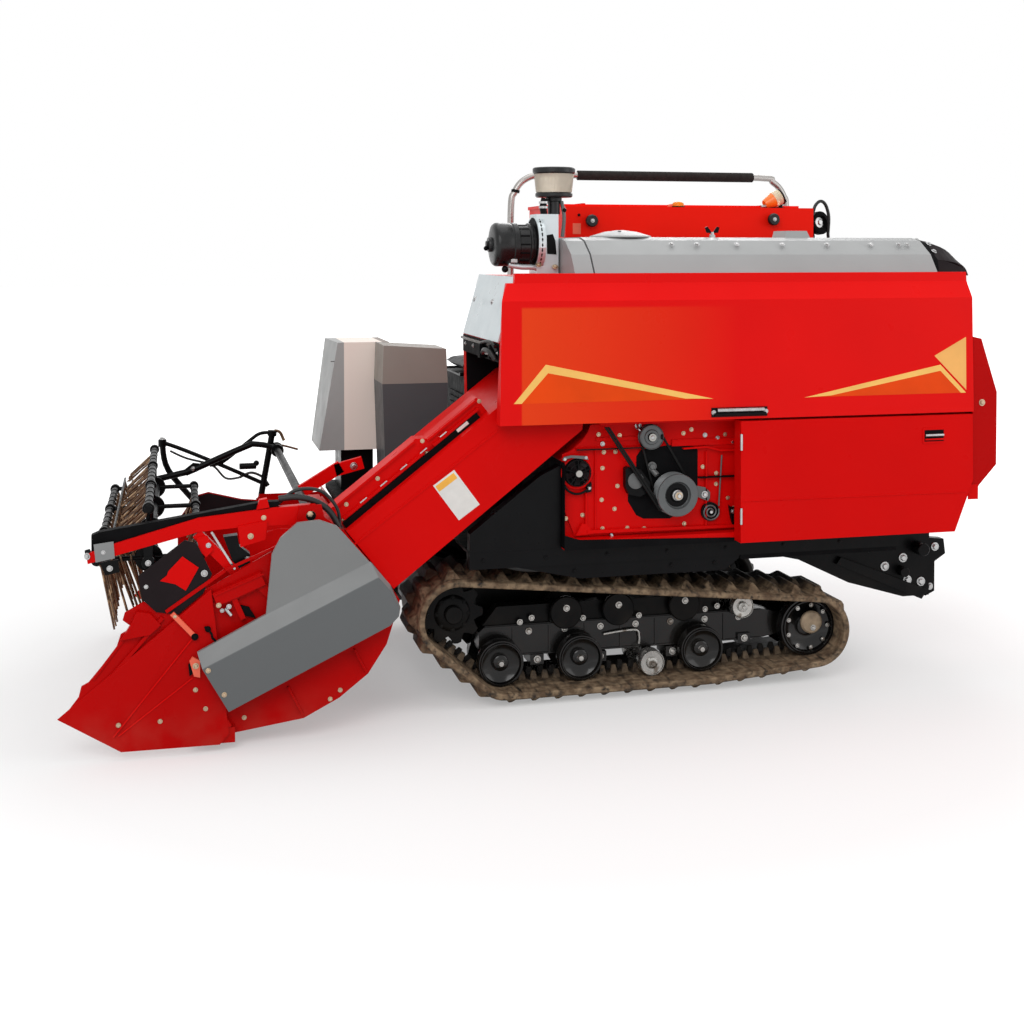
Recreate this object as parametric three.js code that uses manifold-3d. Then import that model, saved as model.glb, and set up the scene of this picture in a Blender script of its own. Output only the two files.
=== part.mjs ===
// Small full-feed combine harvester on rubber tracks.
// Millimetres. X runs from the header (-) to the rear hood (+), Y from the machine's left (-)
// to its right (+), Z up. The origin is on the ground, midway along the length and the width.

import * as THREE from "three";
import { ConvexGeometry } from "three/addons/geometries/ConvexGeometry.js";
import { mergeVertices } from "three/addons/utils/BufferGeometryUtils.js";
import Module from "manifold-3d";

const wasm = await Module();
wasm.setup();

// ---------- driving dimensions ----------

const SEAT = 0.3; // gap between two fixed pieces that touch
const PIN_PLAY = 1; // radial play of a pin in its eye
const SHEET = 5; // thickness of formed sheet

const TRACK_WIDTH = 380;
const TRACK_INSIDE = 260; // from the middle plane to the inner edge of a track
const TRACK_CENTRE = TRACK_INSIDE + TRACK_WIDTH / 2;
const BELT = 25; // rubber belt without its lugs
const LUG = 27;
const LUG_PITCH = 90;
const SPROCKET = { x: -357, z: 329, r: 121 };
const SPROCKET_TEETH = 9;
const SPROCKET_TIP = 116;
const SPROCKET_ROOT = 88;
const FRONT_ROLLER = { x: -180, z: 138, r: 86 };
const MID_ROLLER = { x: 125, z: 138, r: 86 };
const SMALL_ROLLER = { x: 404, z: 101, r: 49 };
const LAST_ROLLER = { x: 606, z: 138, r: 86 };
const IDLER = { x: 1042, z: 197, r: 113 };
const CARRIER = { x: 775, z: 288, r: 45 };

const DECK_TOP = 585; // top of the chassis deck
const DECK_DEPTH = 60;
const DECK_HALF = 700; // half width of the deck
const DECK_FRONT = -330;
const DECK_REAR = 1350;
const RAIL_Y = 150; // the two main rails

const BODY_LEFT = -740; // threshing body
const BODY_RIGHT = -120;
const BODY_TOP = 1560;
const PANEL_LEFT = -800; // outer face of the bulging side panels
const COVER_RISE = 145; // from the body's top to the top cover's
const TOP_COVER_TOP = BODY_TOP + COVER_RISE;

const COVER_FRONT = 136; // hinged top cover
const COVER_REAR = 1510;
const COVER_CAP_FRONT = 60; // fixed cap in front of it

const FEED_PIVOT = { x: -40, z: 1084 };
const FEED_SLOPE = 38; // degrees below the horizontal, pivot to header
const FEED_HALF = 131; // half the feeder's depth, square to its slope
const FEED_LENGTH = 820;
const FEED_LEFT = -660;
const FEED_RIGHT = -180;
const FEED_SHAFT = 22;
const FEED_SWEEP = 172; // free circle round the feeder's pivot

const HEADER_HALF = 800; // outer faces of the header's side walls
const MACHINE_HALF = HEADER_HALF + 80; // the drive cover's outer face, the machine's widest
const REEL_PIVOT = { x: -895, z: 763 };
const REEL_AXIS = { x: -1425, z: 630 };
const REEL_RADIUS = 165;
const REEL_BARS = 4;
const REEL_HALF = 730;
const REEL_ARM_IN = 752; // inner and outer faces of the reel arms
const REEL_ARM_OUT = 788;
const LOW_BACK = 565; // top of the header's back, right of the feeder
const AUGER_AXIS = { x: -905, z: 338 };
const AUGER_TUBE = 80;
const AUGER_FLIGHT = 185;

const INTAKE_Y = -450; // middle of the air intake
const INTAKE_RISE = 230; // from the body's top to the pre-cleaner's foot

const DRIVE_BAY = { front: 0, rear: 690, bottom: 620, top: 1030, depth: 60 };
const MAIN_PULLEY = { x: 430, z: 768, r: 78, stud: 16, width: 62 };
const SMALL_PULLEY = { x: 342, z: 978, r: 46, stud: 14, width: 28 };
const FAN = { x: 66, z: 856, r: 50, stud: 12, width: 24 };

const TANK = { front: 205, rear: 1300, left: -60, right: 520, bottom: 1180, top: 1835 };
const LID_LEFT = 95; // the tank's lid starts here, beside a fixed strip
const PLATFORM_RIGHT = 780;
const PLATFORM_TOP = 620; // the operator's floor

const LIFT_BASE = { x: -100, z: 400 }; // header lift cylinder, pin on the chassis
const LIFT_EYE = { x: -440, z: 530 }; // and its pin on the feeder
const LIFT_Y = -218;
const LIFT_PIN = 12;
const LIFT_EYE_PLAY = 2.6; // the rod's eye is open, so that it may drift on its pin

// ---------- materials ----------

function paint(color, roughness = 0.35, metalness = 0.1) {
  return new THREE.MeshStandardMaterial({ color, roughness, metalness });
}

const RED = () => paint(0xd0120f);
const BLACK = () => paint(0x15161a, 0.3);
const GREY = () => paint(0x7d8082, 0.4);
const LIGHT_GREY = () => paint(0xb9b9b7, 0.4);
const STEEL = () => paint(0xa8aaad, 0.35, 0.8);
const CHROME = () => paint(0xd5d7da, 0.12, 1);
const RUBBER = () => paint(0x1d1d1f, 0.85, 0);
const FOAM = () => paint(0x101012, 0.9, 0);
const AMBER = () => paint(0xf08a10, 0.25, 0);

// ---------- solid helpers ----------

function closed(geometry) {
  const g = geometry.clone();
  g.deleteAttribute("normal");
  g.deleteAttribute("uv");
  const merged = mergeVertices(g, 1e-3);
  return new wasm.Manifold(
    new wasm.Mesh({
      numProp: 3,
      vertProperties: new Float32Array(merged.attributes.position.array),
      triVerts: new Uint32Array(merged.index.array),
    }),
  );
}

function join(...solids) {
  return solids.flat().reduce((all, one) => all.add(one));
}

function cut(solid, ...tools) {
  return tools.flat().reduce((left, tool) => left.subtract(tool), solid);
}

function node(name, solid, material) {
  const made = solid.getMesh();
  const positions = new Float32Array(made.numVert * 3);
  for (let i = 0; i < made.numVert; i++)
    for (let k = 0; k < 3; k++)
      positions[3 * i + k] = made.vertProperties[made.numProp * i + k];
  const indexed = new THREE.BufferGeometry();
  indexed.setAttribute("position", new THREE.BufferAttribute(positions, 3));
  indexed.setIndex(new THREE.BufferAttribute(new Uint32Array(made.triVerts), 1));
  const geometry = indexed.toNonIndexed();
  geometry.computeVertexNormals();
  const mesh = new THREE.Mesh(geometry, material);
  mesh.name = name;
  return mesh;
}

// A box between two corners.
function block(x0, x1, y0, y1, z0, z1) {
  const g = new THREE.BoxGeometry(x1 - x0, y1 - y0, z1 - z0);
  g.translate((x0 + x1) / 2, (y0 + y1) / 2, (z0 + z1) / 2);
  return closed(g);
}

// An outline given as [x, z] points, standing between two values of Y.
function plate(points, y0, y1, holes = []) {
  const shape = new THREE.Shape(points.map(([x, z]) => new THREE.Vector2(x, z)));
  for (const hole of holes) {
    const path = new THREE.Path();
    path.absarc(hole.x, hole.z, hole.r, 0, 2 * Math.PI, true);
    shape.holes.push(path);
  }
  const g = new THREE.ExtrudeGeometry(shape, {
    depth: y1 - y0,
    bevelEnabled: false,
    curveSegments: 12,
  });
  g.rotateX(Math.PI / 2);
  g.translate(0, y1, 0);
  return closed(g);
}

// A round bar along Y.
function barY(x, z, r, y0, y1, sides = 24) {
  const g = new THREE.CylinderGeometry(r, r, y1 - y0, sides);
  g.translate(x, (y0 + y1) / 2, z);
  return closed(g);
}

// A round bar between two points, each [x, y, z].
function bar(from, to, r, sides = 12, rEnd = r) {
  const a = new THREE.Vector3(...from);
  const b = new THREE.Vector3(...to);
  const along = b.clone().sub(a);
  const g = new THREE.CylinderGeometry(rEnd, r, along.length(), sides);
  const turn = new THREE.Quaternion().setFromUnitVectors(
    new THREE.Vector3(0, 1, 0),
    along.clone().normalize(),
  );
  g.applyQuaternion(turn);
  g.translate((a.x + b.x) / 2, (a.y + b.y) / 2, (a.z + b.z) / 2);
  return closed(g);
}

function ball([x, y, z], r, sides = 12) {
  const g = new THREE.SphereGeometry(r, sides, sides / 2);
  g.translate(x, y, z);
  return closed(g);
}

// A bent round bar through several points, with a ball at each bend.
function bentBar(points, r, sides = 12) {
  const pieces = [];
  for (let i = 1; i < points.length; i++)
    pieces.push(bar(points[i - 1], points[i], r, sides));
  for (let i = 1; i < points.length - 1; i++) pieces.push(ball(points[i], r, sides));
  return join(pieces);
}

// A square tube or bar between two points in a plane of constant Y.
function flatBar(from, to, depth, y0, y1) {
  const dx = to[0] - from[0];
  const dz = to[1] - from[1];
  const length = Math.hypot(dx, dz);
  const nx = (-dz / length) * (depth / 2);
  const nz = (dx / length) * (depth / 2);
  return plate(
    [
      [from[0] - nx, from[1] - nz],
      [to[0] - nx, to[1] - nz],
      [to[0] + nx, to[1] + nz],
      [from[0] + nx, from[1] + nz],
    ],
    y0,
    y1,
  );
}

// The convex body through the points given as [x, y, z].
function wedge(points) {
  return closed(new ConvexGeometry(points.map((p) => new THREE.Vector3(...p))));
}

// ---------- tracks ----------

const WHEELS = [SPROCKET, FRONT_ROLLER, LAST_ROLLER, IDLER];

// Outline of a band stretched around the wheels, a given distance outside them.
function bandOutline(offset) {
  const points = [];
  for (const w of WHEELS)
    for (let i = 0; i < 24; i++) {
      const a = (i / 24) * 2 * Math.PI;
      const r = w.r + offset;
      points.push([w.x + r * Math.cos(a), w.z + r * Math.sin(a)]);
    }
  points.sort((p, q) => p[0] - q[0] || p[1] - q[1]);
  const turn = (o, a, b) => (a[0] - o[0]) * (b[1] - o[1]) - (a[1] - o[1]) * (b[0] - o[0]);
  const half = (list) => {
    const hull = [];
    for (const p of list) {
      while (hull.length > 1 && turn(hull.at(-2), hull.at(-1), p) <= 1e-6) hull.pop();
      hull.push(p);
    }
    return hull.slice(0, -1);
  };
  return [...half(points), ...half([...points].reverse())];
}

// The same outline with a row of lugs standing out of it.
function luggedOutline(offset) {
  const band = bandOutline(offset);
  const edges = band.map((p, i) => {
    const q = band[(i + 1) % band.length];
    return { p, q, length: Math.hypot(q[0] - p[0], q[1] - p[1]) };
  });
  const around = edges.reduce((sum, e) => sum + e.length, 0);
  const count = Math.round(around / LUG_PITCH);
  const at = (s, out) => {
    let rest = ((s % around) + around) % around;
    let i = 0;
    while (rest > edges[i].length) rest -= edges[i++].length;
    const { p, q, length } = edges[i];
    const ux = (q[0] - p[0]) / length;
    const uz = (q[1] - p[1]) / length;
    return [p[0] + ux * rest + uz * out, p[1] + uz * rest - ux * out];
  };
  const outline = [];
  for (let k = 0; k < count; k++) {
    const s = (k * around) / count;
    outline.push(at(s, 0), at(s + 9, LUG), at(s + 39, LUG), at(s + 48, 0), at(s + 69, 0));
  }
  return outline;
}

function track(side) {
  const y0 = side * TRACK_CENTRE - TRACK_WIDTH / 2;
  const y1 = side * TRACK_CENTRE + TRACK_WIDTH / 2;
  const outer = plate(luggedOutline(BELT), y0, y1);
  return cut(outer, plate(bandOutline(SEAT), y0 - 10, y1 + 10));
}

function trackFrame(side) {
  const c = side * TRACK_CENTRE;
  const pair = (w) => [
    barY(w.x, w.z, w.r, c - 120, c - 62, 24),
    barY(w.x, w.z, w.r, c + 62, c + 120, 24),
    barY(w.x, w.z, 24, c - 130, c + 130, 16),
  ];
  const beam = plate(
    [
      [-270, 145],
      [880, 145],
      [1060, 180],
      [1060, 222],
      [880, 262],
      [-230, 262],
    ],
    c - 45,
    c + 45,
  );
  const carrierPost = block(CARRIER.x - 20, CARRIER.x + 20, c - 30, c + 30, 240, CARRIER.z + 10);
  const carrier = [barY(CARRIER.x, CARRIER.z, CARRIER.r, c - 100, c + 100, 24)];
  const wheels = [FRONT_ROLLER, MID_ROLLER, SMALL_ROLLER, LAST_ROLLER, IDLER].flatMap(pair);
  return join(beam, carrierPost, carrier, wheels, block(385, 423, c - 40, c + 40, 100, 180));
}

function driveAxle() {
  const axle = barY(SPROCKET.x, SPROCKET.z, 34, -600, 600, 20);
  const discs = [-1, 1].flatMap((side) => {
    const c = side * TRACK_CENTRE;
    const teeth = [];
    const corner = (r, a) =>
      teeth.push([SPROCKET.x + r * Math.cos(a), SPROCKET.z + r * Math.sin(a)]);
    for (let i = 0; i < SPROCKET_TEETH; i++) {
      const a = (i / SPROCKET_TEETH) * 2 * Math.PI;
      const half = 0.17;
      corner(SPROCKET_ROOT, a - half * 1.9);
      corner(SPROCKET_TIP, a - half);
      corner(SPROCKET_TIP, a + half);
      corner(SPROCKET_ROOT, a + half * 1.9);
    }
    return [
      plate(teeth, c - 75, c - 45),
      plate(teeth, c + 45, c + 75),
      barY(SPROCKET.x, SPROCKET.z, 62, c - 80, c + 80, 24),
    ];
  });
  const gearbox = block(-450, -270, -150, 150, 250, 430);
  return join(axle, discs, gearbox);
}

// ---------- chassis ----------

const LEG_TOP = 440; // underside of the main rails
const LEG_FOOT = 262 + SEAT; // top of the track frames' beams

// The deck: a sheet on two main rails, two edge rails and four cross members.
function chassisFrame() {
  const deckBottom = DECK_TOP - DECK_DEPTH;
  const pieces = [
    block(DECK_FRONT, DECK_REAR, -DECK_HALF, DECK_HALF, DECK_TOP - 8, DECK_TOP),
  ];
  for (const side of [-1, 1]) {
    const y = side * RAIL_Y;
    const edge = side * (DECK_HALF - 25);
    pieces.push(block(DECK_FRONT + 5, DECK_REAR - 5, y - 25, y + 25, LEG_TOP, DECK_TOP - 5));
    pieces.push(block(DECK_FRONT, DECK_REAR, edge - 25, edge + 25, deckBottom, DECK_TOP));
  }
  for (const x of [-230, 355, 860, DECK_REAR - 60])
    pieces.push(block(x, x + 60, -DECK_HALF, DECK_HALF, deckBottom, DECK_TOP));
  pieces.push(block(-320, -275, -150, 150, 430 + SEAT, 540));
  const ear = [
    [-140, 450],
    [-130, 375],
    [-70, 375],
    [-60, 450],
  ];
  pieces.push(plate(ear, LIFT_Y + 33, -RAIL_Y - 20));
  pieces.push(barY(LIFT_BASE.x, LIFT_BASE.z, LIFT_PIN, LIFT_Y - 25, LIFT_Y + 34));
  return join(pieces);
}

// A pair of legs with their cross beam, which carries the deck on the two track frames.
function crossLeg(x) {
  const legs = [-RAIL_Y, RAIL_Y].map((y) =>
    block(x, x + 70, y - 25, y + 25, LEG_FOOT, LEG_TOP - SEAT),
  );
  return join(legs, block(x, x + 70, -500, 500, LEG_FOOT, 320));
}

// The black plate between the deck and the left end of the feeder's pivot.
function frontPost() {
  const outline = [
    [-328, DECK_TOP + SEAT],
    [5, DECK_TOP + SEAT],
    [5, 885],
    [-70, 850],
    [-150, 790],
    [-328, 652],
  ];
  return plate(outline, -700, -650);
}

function rearHitch() {
  const y0 = -500;
  const y1 = -400;
  const cheek = [
    [1290, 524],
    [1597, 500],
    [1597, 300],
    [1440, 300],
    [1420, 440],
    [1290, 500],
  ];
  const skirt = [
    [800, 524],
    [800, 498],
    [1028, 446],
    [1241, 344],
    [1481, 274],
    [1597, 274],
    [1597, 524],
  ];
  return join(
    plate(skirt, y0, y0 + 6),
    plate(cheek, y0, y0 + 12),
    plate(cheek, y1 - 12, y1),
    block(1440, 1597, y0, y1, 300, 312),
    block(1292, 1350, y0, y1, 500, 524.7),
    block(1560, 1597, y0, y1, 320, 400),
  );
}

// ---------- threshing body ----------

const BODY_OUTLINE = [
  [-230, 1262],
  [-230, 1330],
  [-165, BODY_TOP],
  [1590, BODY_TOP],
  [1600, 800],
  [1525, DECK_TOP + SEAT],
  [10, DECK_TOP + SEAT],
  [10, 900],
  [140, 1020],
  [140, 1170],
  [50, 1262],
];

function threshingBody() {
  const shell = plate(BODY_OUTLINE, BODY_LEFT, BODY_RIGHT);
  const bay = DRIVE_BAY;
  const driveBay = block(
    bay.front,
    bay.rear,
    BODY_LEFT - 1,
    BODY_LEFT + bay.depth,
    bay.bottom,
    bay.top,
  );
  const upperBay = block(-80, 1540, BODY_LEFT - 1, BODY_LEFT + 40, 1080, BODY_TOP - 30);
  const rearBay = block(720, 1490, BODY_LEFT - 1, BODY_LEFT + 40, 640, 1000);
  const drumBay = block(60, 1500, BODY_LEFT + 60, BODY_RIGHT - 60, BODY_TOP - 110, BODY_TOP + 1);
  const cheekOutline = [
    [-230, 1262],
    [-225, 1040],
    [-60, 960],
    [10, 900],
    [150, 1010],
    [150, 1180],
    [50, 1270],
  ];
  const cheek = plate(cheekOutline, -165, BODY_RIGHT);
  const bore = FEED_SHAFT + PIN_PLAY * 0.8;
  const bearing = barY(FEED_PIVOT.x, FEED_PIVOT.z, bore, -166, BODY_RIGHT + 1, 24);
  return cut(join(shell, cheek), driveBay, upperBay, rearBay, drumBay, bearing);
}

function frontSheet() {
  const y0 = BODY_LEFT + 5;
  const y1 = BODY_RIGHT - 20;
  const outline = [
    [-230 - SEAT, 1330],
    [-230 - 6, 1332],
    [-171, BODY_TOP + 2],
    [-165 - SEAT, BODY_TOP],
  ];
  return plate(outline, y0, y1);
}

// The big hinged side panel: a flange along its top, a bulged face below.
function upperSidePanel() {
  const y1 = BODY_LEFT - SEAT;
  const fold = BODY_TOP - 20;
  const shoulder = BODY_TOP - 82;
  const flangeOutline = [
    [-182, fold],
    [-180, BODY_TOP + 14],
    [1588, BODY_TOP + 14],
    [1590, fold],
  ];
  const flange = plate(flangeOutline, y1 - 22, y1);
  const face = wedge([
    [-210, y1 - 22, fold],
    [1590, y1 - 22, fold],
    [-236, PANEL_LEFT, shoulder],
    [1592, PANEL_LEFT, shoulder],
    [-242, PANEL_LEFT, 1045],
    [1602, PANEL_LEFT, 1045],
    [-210, y1, fold],
    [1590, y1, fold],
    [-242, y1, 1045],
    [1602, y1, 1045],
  ]);
  const hollow = block(-200, 1565, PANEL_LEFT + SHEET + 20, y1 + 1, 1065, BODY_TOP - 60);
  return cut(join(flange, face), hollow);
}

function lowerRearDoor() {
  const y1 = BODY_LEFT - SEAT;
  const outline = [
    [656, 592],
    [656, 1036],
    [1598, 1036],
    [1602, 785],
    [1526, 592],
  ];
  const face = plate(outline, PANEL_LEFT, y1);
  const hollow = block(700, 1480, PANEL_LEFT + SHEET + 10, y1 + 1, 640, 1000);
  return cut(face, hollow);
}

// The body spanned by an outline given as [y, z] points, between two values of X.
function across(outline, x0, x1) {
  return wedge(
    outline.flatMap(([y, z]) => [
      [x0, y, z],
      [x1, y, z],
    ]),
  );
}

const COVER_FOOT = BODY_TOP + SEAT;
const COVER_END = [
  [-700, COVER_FOOT],
  [-125, COVER_FOOT],
  [-560, TOP_COVER_TOP - 15],
  [-135, TOP_COVER_TOP - 20],
  [-640, TOP_COVER_TOP - 65],
];

function topCover() {
  const outline = [
    [-700, COVER_FOOT],
    [-640, TOP_COVER_TOP - 65],
    [-560, TOP_COVER_TOP - 12],
    [-500, TOP_COVER_TOP],
    [-180, TOP_COVER_TOP],
    [-135, TOP_COVER_TOP - 20],
    [-125, COVER_FOOT],
    [-150, COVER_FOOT],
    [-160, TOP_COVER_TOP - 40],
    [-500, TOP_COVER_TOP - 16],
    [-600, TOP_COVER_TOP - 65],
    [-660, COVER_FOOT],
  ];
  const shape = new THREE.Shape(outline.map(([y, z]) => new THREE.Vector2(y, z)));
  const depth = COVER_REAR - COVER_FRONT;
  const g = new THREE.ExtrudeGeometry(shape, { depth, bevelEnabled: false });
  g.rotateX(Math.PI / 2);
  g.rotateZ(Math.PI / 2);
  g.translate(COVER_FRONT, 0, 0);
  const ends = [COVER_FRONT, COVER_REAR - 10].map((x) => across(COVER_END, x, x + 10));
  return join(closed(g), ends);
}

function topCoverCap() {
  return across([...COVER_END, [-500, TOP_COVER_TOP - 5]], COVER_CAP_FRONT, COVER_FRONT - 6);
}

function rearHood() {
  const x0 = 1600 + SEAT;
  const outside = [
    [x0, 1330],
    [1645, 1320],
    [1713, 1115],
    [1713, 838],
    [1640, 761],
    [x0, 700],
  ];
  const inside = [
    [x0, 745],
    [1630, 790],
    [1694, 850],
    [1694, 1108],
    [1630, 1300],
    [x0, 1310],
  ];
  const shell = join(
    plate([...outside, ...inside], -780, -140),
    plate(outside, -780, -770),
    plate(outside, -150, -140),
  );
  return cut(shell, block(1590, 1610, -790, BODY_LEFT + 1, 600, 1400));
}

// The sheet that closes the drive bay, with a stud for each wheel in it.
function drivePlate() {
  const bay = DRIVE_BAY;
  const y1 = BODY_LEFT + bay.depth - SEAT;
  const sheet = plate(
    [
      [14, 740],
      [14, bay.top - 4],
      [bay.rear - 4, bay.top - 4],
      [bay.rear - 4, bay.bottom + 4],
      [60, bay.bottom + 4],
    ],
    y1 - 8,
    y1,
  );
  const back = cut(sheet, barY(FEED_PIVOT.x, FEED_PIVOT.z, FEED_SWEEP, y1 - 10, y1 + 2));
  const studs = [MAIN_PULLEY, SMALL_PULLEY, FAN].map((w) =>
    barY(w.x, w.z, w.stud, y1 - 24 - w.width, y1),
  );
  return join(back, studs);
}

// The outer end of a drive wheel stands clear of the bay's sheet.
function wheelSides(wheel) {
  const y1 = BODY_LEFT + DRIVE_BAY.depth - SEAT - 16;
  return [y1 - wheel.width, y1];
}

function pulley(wheel) {
  const { x, z, r, stud, width } = wheel;
  const [y0, y1] = wheelSides(wheel);
  const rim = barY(x, z, r, y0, y1, 32);
  const groove = cut(
    barY(x, z, r + 5, y1 - width * 0.65, y1 - width * 0.35, 32),
    barY(x, z, r - 9, y0, y1, 32),
  );
  return cut(rim, groove, barY(x, z, stud + PIN_PLAY, y0 - 1, y1 + 1, 24));
}

function fanWheel() {
  const { x, z, r, stud } = FAN;
  const [y0, y1] = wheelSides(FAN);
  const ring = cut(barY(x, z, r, y0, y1, 32), barY(x, z, r - 10, y0 - 1, y1 + 1, 32));
  const hub = barY(x, z, stud + 10, y0, y1, 20);
  const middle = (y0 + y1) / 2;
  const spokes = [];
  for (let i = 0; i < 5; i++) {
    const a = (i / 5) * 2 * Math.PI;
    const point = (reach) => [x + reach * Math.cos(a), middle, z + reach * Math.sin(a)];
    spokes.push(bar(point(stud + 4), point(r - 5), 5, 8));
  }
  return cut(join(ring, hub, spokes), barY(x, z, stud + PIN_PLAY, y0 - 1, y1 + 1, 24));
}

// ---------- grain tank, bagging side ----------

function grainTank() {
  const t = TANK;
  const corners = (inset) => [
    [t.front + inset, t.left + inset],
    [t.rear - inset, t.left + inset],
    [t.front + inset, t.right - inset],
    [t.rear - inset, t.right - inset],
  ];
  const walls = (inset, low, high) =>
    corners(inset).flatMap(([x, y]) => [
      [x, y, high],
      [x, y, low],
    ]);
  const outer = wedge([
    ...walls(0, t.bottom + 120, t.top),
    [t.front + 120, t.left, t.bottom - 150],
    [t.rear - 120, t.left, t.bottom - 150],
    [t.front + 120, t.right, t.bottom - 20],
    [t.rear - 120, t.right, t.bottom - 20],
  ]);
  const s = 14;
  const inner = wedge([
    ...walls(s, t.bottom + 125, t.top + 40),
    [t.front + 130, t.left + s, t.bottom - 120],
    [t.rear - 130, t.left + s, t.bottom - 120],
    [t.front + 130, t.right - s, t.bottom + 5],
    [t.rear - 130, t.right - s, t.bottom + 5],
  ]);
  const legs = [];
  for (const x of [t.front + 160, t.rear - 200])
    for (const y of [20, t.right - 60])
      legs.push(block(x, x + 40, y, y + 40, DECK_TOP + SEAT, t.bottom + 60));
  const spouts = [t.front + 330, t.rear - 330].map((x) =>
    block(x - 60, x + 60, t.right - 80, t.right + 60, 1040, t.bottom + 60),
  );
  const strip = block(t.front, t.rear, t.left, LID_LEFT - 6, t.top - 12, t.top);
  return join(cut(join(outer, legs, spouts), inner), strip);
}

function tankLid() {
  const t = TANK;
  const z0 = t.top + SEAT;
  return block(t.front - 6, t.rear + 6, LID_LEFT, t.right + 6, z0, z0 + 14);
}

function baggingPlatform() {
  return block(170, 1590, DECK_HALF + SEAT, MACHINE_HALF, 556, 584);
}

function guardRail() {
  const y = 790;
  const foot = 584 + SEAT;
  const [x0, x1] = [185, 1572];
  const frame = [
    [x0, foot],
    [x0, 1830],
    [x0 + 20, 1930],
    [x0 + 70, 1988],
    [x0 + 160, 2010],
    [x1 - 170, 2010],
    [x1 - 70, 1988],
    [x1 - 15, 1925],
    [x1, 1830],
    [x1, foot],
  ];
  return join(
    bentBar(
      frame.map(([x, z]) => [x, y, z]),
      16,
    ),
    bentBar(
      [
        [x0, y, 1180],
        [x1, y, 1180],
      ],
      12,
    ),
  );
}

// ---------- operator station and engine ----------

function operatorPlatform() {
  return join(
    block(-680, 170, 160, PLATFORM_RIGHT, DECK_TOP + SEAT, PLATFORM_TOP),
    block(-330, 160, 160, 194, 610, 700),
  );
}

function engineCover() {
  const shell = block(-130, 290, 200, 740, PLATFORM_TOP + SEAT, 1120);
  return cut(shell, block(-105, 265, 225, 715, 600, 1095));
}

function engine() {
  return block(-25, 255, 240, 700, PLATFORM_TOP + SEAT, 1030);
}

function seat() {
  const cushion = block(-170, 150, 260, 680, 1120 + SEAT, 1200);
  const corners = [
    [90, 270, 1190],
    [150, 270, 1190],
    [150, 280, 1480],
    [194, 280, 1480],
  ];
  const middle = 470;
  const back = wedge([...corners, ...corners.map(([x, y, z]) => [x, 2 * middle - y, z])]);
  return join(cushion, back);
}

function console_() {
  return wedge([
    [-740, 450, 800],
    [-740, 800, 800],
    [-430, 450, 800],
    [-430, 800, 800],
    [-660, 450, 1262],
    [-680, 780, 1262],
    [-440, 450, 1262],
    [-440, 780, 1262],
  ]);
}

// The tall box at the operator's left hand, with the lever gates in its top.
function sideConsole() {
  const outline = [
    [-490, PLATFORM_TOP + SEAT],
    [-238, PLATFORM_TOP + SEAT],
    [-232, 1105],
    [-238, 1246],
    [-500, 1264],
    [-506, 1105],
  ];
  return plate(outline, 194 + SEAT, 440);
}

function consolePost() {
  return block(-640, -500, 520, 740, PLATFORM_TOP + SEAT, 800 - SEAT);
}

const CAN_Z = BODY_TOP + 117; // middle of the air cleaner's can
const INTAKE_TOP = BODY_TOP + INTAKE_RISE;

function airCleaner() {
  return join(
    bar([-205, INTAKE_Y, CAN_Z], [-35 - SEAT, INTAKE_Y, CAN_Z], 81, 32),
    bar([-222, INTAKE_Y, CAN_Z], [-204, INTAKE_Y, CAN_Z], 16, 16),
  );
}

function intakeBracket() {
  const disc = bar([-35, INTAKE_Y, CAN_Z + 8], [-8, INTAKE_Y, CAN_Z + 8], 100, 32);
  const foot = block(-32, 52, INTAKE_Y - 50, INTAKE_Y + 50, BODY_TOP + SEAT, INTAKE_TOP);
  return join(disc, foot);
}

function preCleaner() {
  const x = 48;
  const at = (rise) => [x, INTAKE_Y, INTAKE_TOP + rise];
  return join(
    bar(at(SEAT), at(70), 24, 16),
    bar(at(63), at(81), 68, 32, 66),
    bar(at(80), at(147), 62, 32, 76),
    bar(at(145), at(175), 80, 32),
  );
}

function beacon() {
  return bar([718, 15, TANK.top + SEAT], [718, 15, TANK.top + 27], 46, 24, 40);
}

function workLamp() {
  const z = TANK.top + SEAT;
  return join(
    bar([1166, 30, z], [1166, 30, z + 14], 14, 16),
    bar([1120, 30, z + 22], [1196, 30, z + 34], 20, 24, 30),
    bar([1196, 30, z + 34], [1216, 30, z + 37], 31, 24),
  );
}

// ---------- feeder ----------

const slope = THREE.MathUtils.degToRad(FEED_SLOPE);
const along = [-Math.cos(slope), -Math.sin(slope)]; // pivot to header
const above = [-Math.sin(slope), Math.cos(slope)]; // square to it, up

// A point of the feeder: how far from the pivot towards the header, and how far above the middle line.
function feederPoint(far, up) {
  return [
    FEED_PIVOT.x + along[0] * far + above[0] * up,
    FEED_PIVOT.z + along[1] * far + above[1] * up,
  ];
}

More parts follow.
